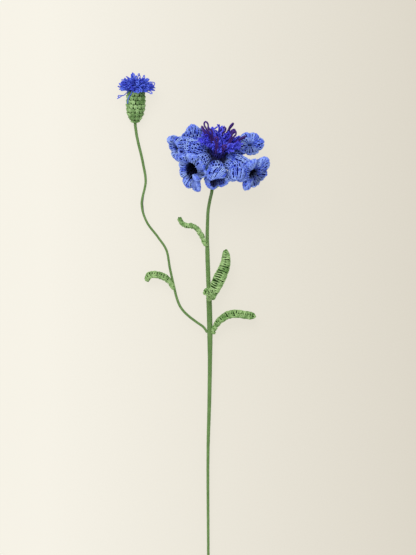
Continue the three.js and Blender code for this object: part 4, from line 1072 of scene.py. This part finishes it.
def makeTuft(name, look):
    values = {**look["values"], "Yarn": yarns[look["yarn"]], "Backing": backings["royal"]}
    piece = grow(name, lineMesh("dot", [[(0, 0, 0), (0, 0, 0.01)]], 1), tuftTree, values)
    mesh = piece.data
    co = np.zeros(len(mesh.vertices) * 3)
    mesh.vertices.foreach_get("co", co)
    co = co.reshape(-1, 3) / mm + (0, 0, look["base"])
    placed = toWorld(look["at"], co)
    placed[:, 2] = np.maximum(placed[:, 2], 0.3 + 0.03 * placed[:, 2])   # what would sink rests on the table
    mesh.vertices.foreach_set("co", (placed * mm).ravel())
    mesh.update()
    if name == "budTuft":
        lines = [spaced(smoothLine(line), np.linspace(0, 1, 30)) for line in strayThreads["lines"]]
        threads = [lineMesh("thread", [line], strayThreads["girth"]) for line in lines]
        piece = joined(piece, *[grow(f"strayThread{i}", thread, windingTree, {
            "Pitch": strayThreads["pitch"] * mm, "Strands": 2, "Points a turn": 6.0,
            "Yarn radius": strayThreads["yarn"] * mm, "Yarn sides": 5, "Core share": 0.5, "Wobble": 0.1 * mm,
            "Seed": 60 + i, "Yarn": yarns["budThread"], "Backing": backings["royal"]})
            for i, thread in enumerate(threads)])
    keep(piece, look["slot"], look["node"])


for name, look in tuftLooks.items():
    makeTuft(name, look)
print("tufts made")

setting = {
    "paper": (shade(80, 78.6, 74.4), shade(70.5, 68.4, 63.4)),
    "paintedFalloff": (-0.1, 0.16),     # between these places along X, in metres, a painted falloff of light takes the paper from the lighter colour to the darker
    "paperGlow": 10.35,             # the table is lit mostly from within, so shadows on it stay faint
    "floorSize": 6.0, "sky": (1.0, 1.0, 1.0, 1.0), "skyStrength": 0.72,
    "cameraOver": (9.9, 62.6), "cameraHeight": 1500,    # in mm
    "seen": 377.4,                  # how much of the table's length the camera takes in, in mm
    "softbox": {"at": (-0.3, 0.75, 1.35), "aimedAt": (0.01, 0.06, 0.0), "size": 0.9, "power": 14},
}


def makeFloor():
    half = setting["floorSize"] / 2
    mesh = bpy.data.meshes.new("floor")
    corners = [(-half, -half, 0), (half, -half, 0), (half, half, 0), (-half, half, 0)]
    mesh.from_pydata(corners, [], [(0, 1, 2, 3)])
    floor = bpy.data.objects.new("floor", mesh)
    bpy.context.scene.collection.objects.link(floor)
    material, m = emptyMaterial("floorPaper")
    place = m.node("ShaderNodeTexCoord", output="Object")
    grain = m.node("ShaderNodeTexNoise", {}, {"Vector": place, "Scale": 900.0, "Detail": 2.0}, "Fac")
    # the paper darkens along X as a painted falloff of light, with a little random grain
    low, high = setting["paintedFalloff"]
    across = (m.parts(place)[0] - low) / (high - low) + (grain - 0.5) * 0.15
    paper = m.mixed(m.within(across), *setting["paper"])
    body = m.node("ShaderNodeBsdfPrincipled", {}, {
        "Base Color": paper, "Emission Color": paper, "Emission Strength": setting["paperGlow"], "Roughness": 0.9,
        "Specular IOR Level": 0.1}, "BSDF")
    m.node("ShaderNodeOutputMaterial", {}, {"Surface": body})
    mesh.materials.append(material)


def makeLight():
    world = bpy.data.worlds.new("studio")
    bpy.context.scene.world = world
    world.use_nodes = True
    sky = world.node_tree.nodes["Background"]
    sky.inputs[0].default_value = setting["sky"]
    sky.inputs[1].default_value = setting["skyStrength"]
    lamp = setting["softbox"]
    data = bpy.data.lights.new("softbox", "AREA")
    data.size, data.energy = lamp["size"], lamp["power"]
    softbox = bpy.data.objects.new("softbox", data)
    softbox.location = lamp["at"]
    aim = Vector(lamp["aimedAt"]) - Vector(lamp["at"])
    softbox.rotation_euler = aim.to_track_quat("-Z", "Y").to_euler()
    bpy.context.scene.collection.objects.link(softbox)


def makeCamera():
    data = bpy.data.cameras.new("camera")
    data.sensor_width = 36
    data.lens = data.sensor_width * setting["cameraHeight"] / setting["seen"]
    data.clip_start, data.clip_end = 0.05, 20
    camera = bpy.data.objects.new("camera", data)
    x, y = setting["cameraOver"]
    camera.location = (x * mm, y * mm, setting["cameraHeight"] * mm)
    bpy.context.scene.collection.objects.link(camera)
    bpy.context.scene.camera = camera
    bpy.context.scene.view_settings.view_transform = "Standard"


for helper in helpers:
    bpy.data.objects.remove(helper)
makeFloor()
makeLight()
makeCamera()
print("stage set")
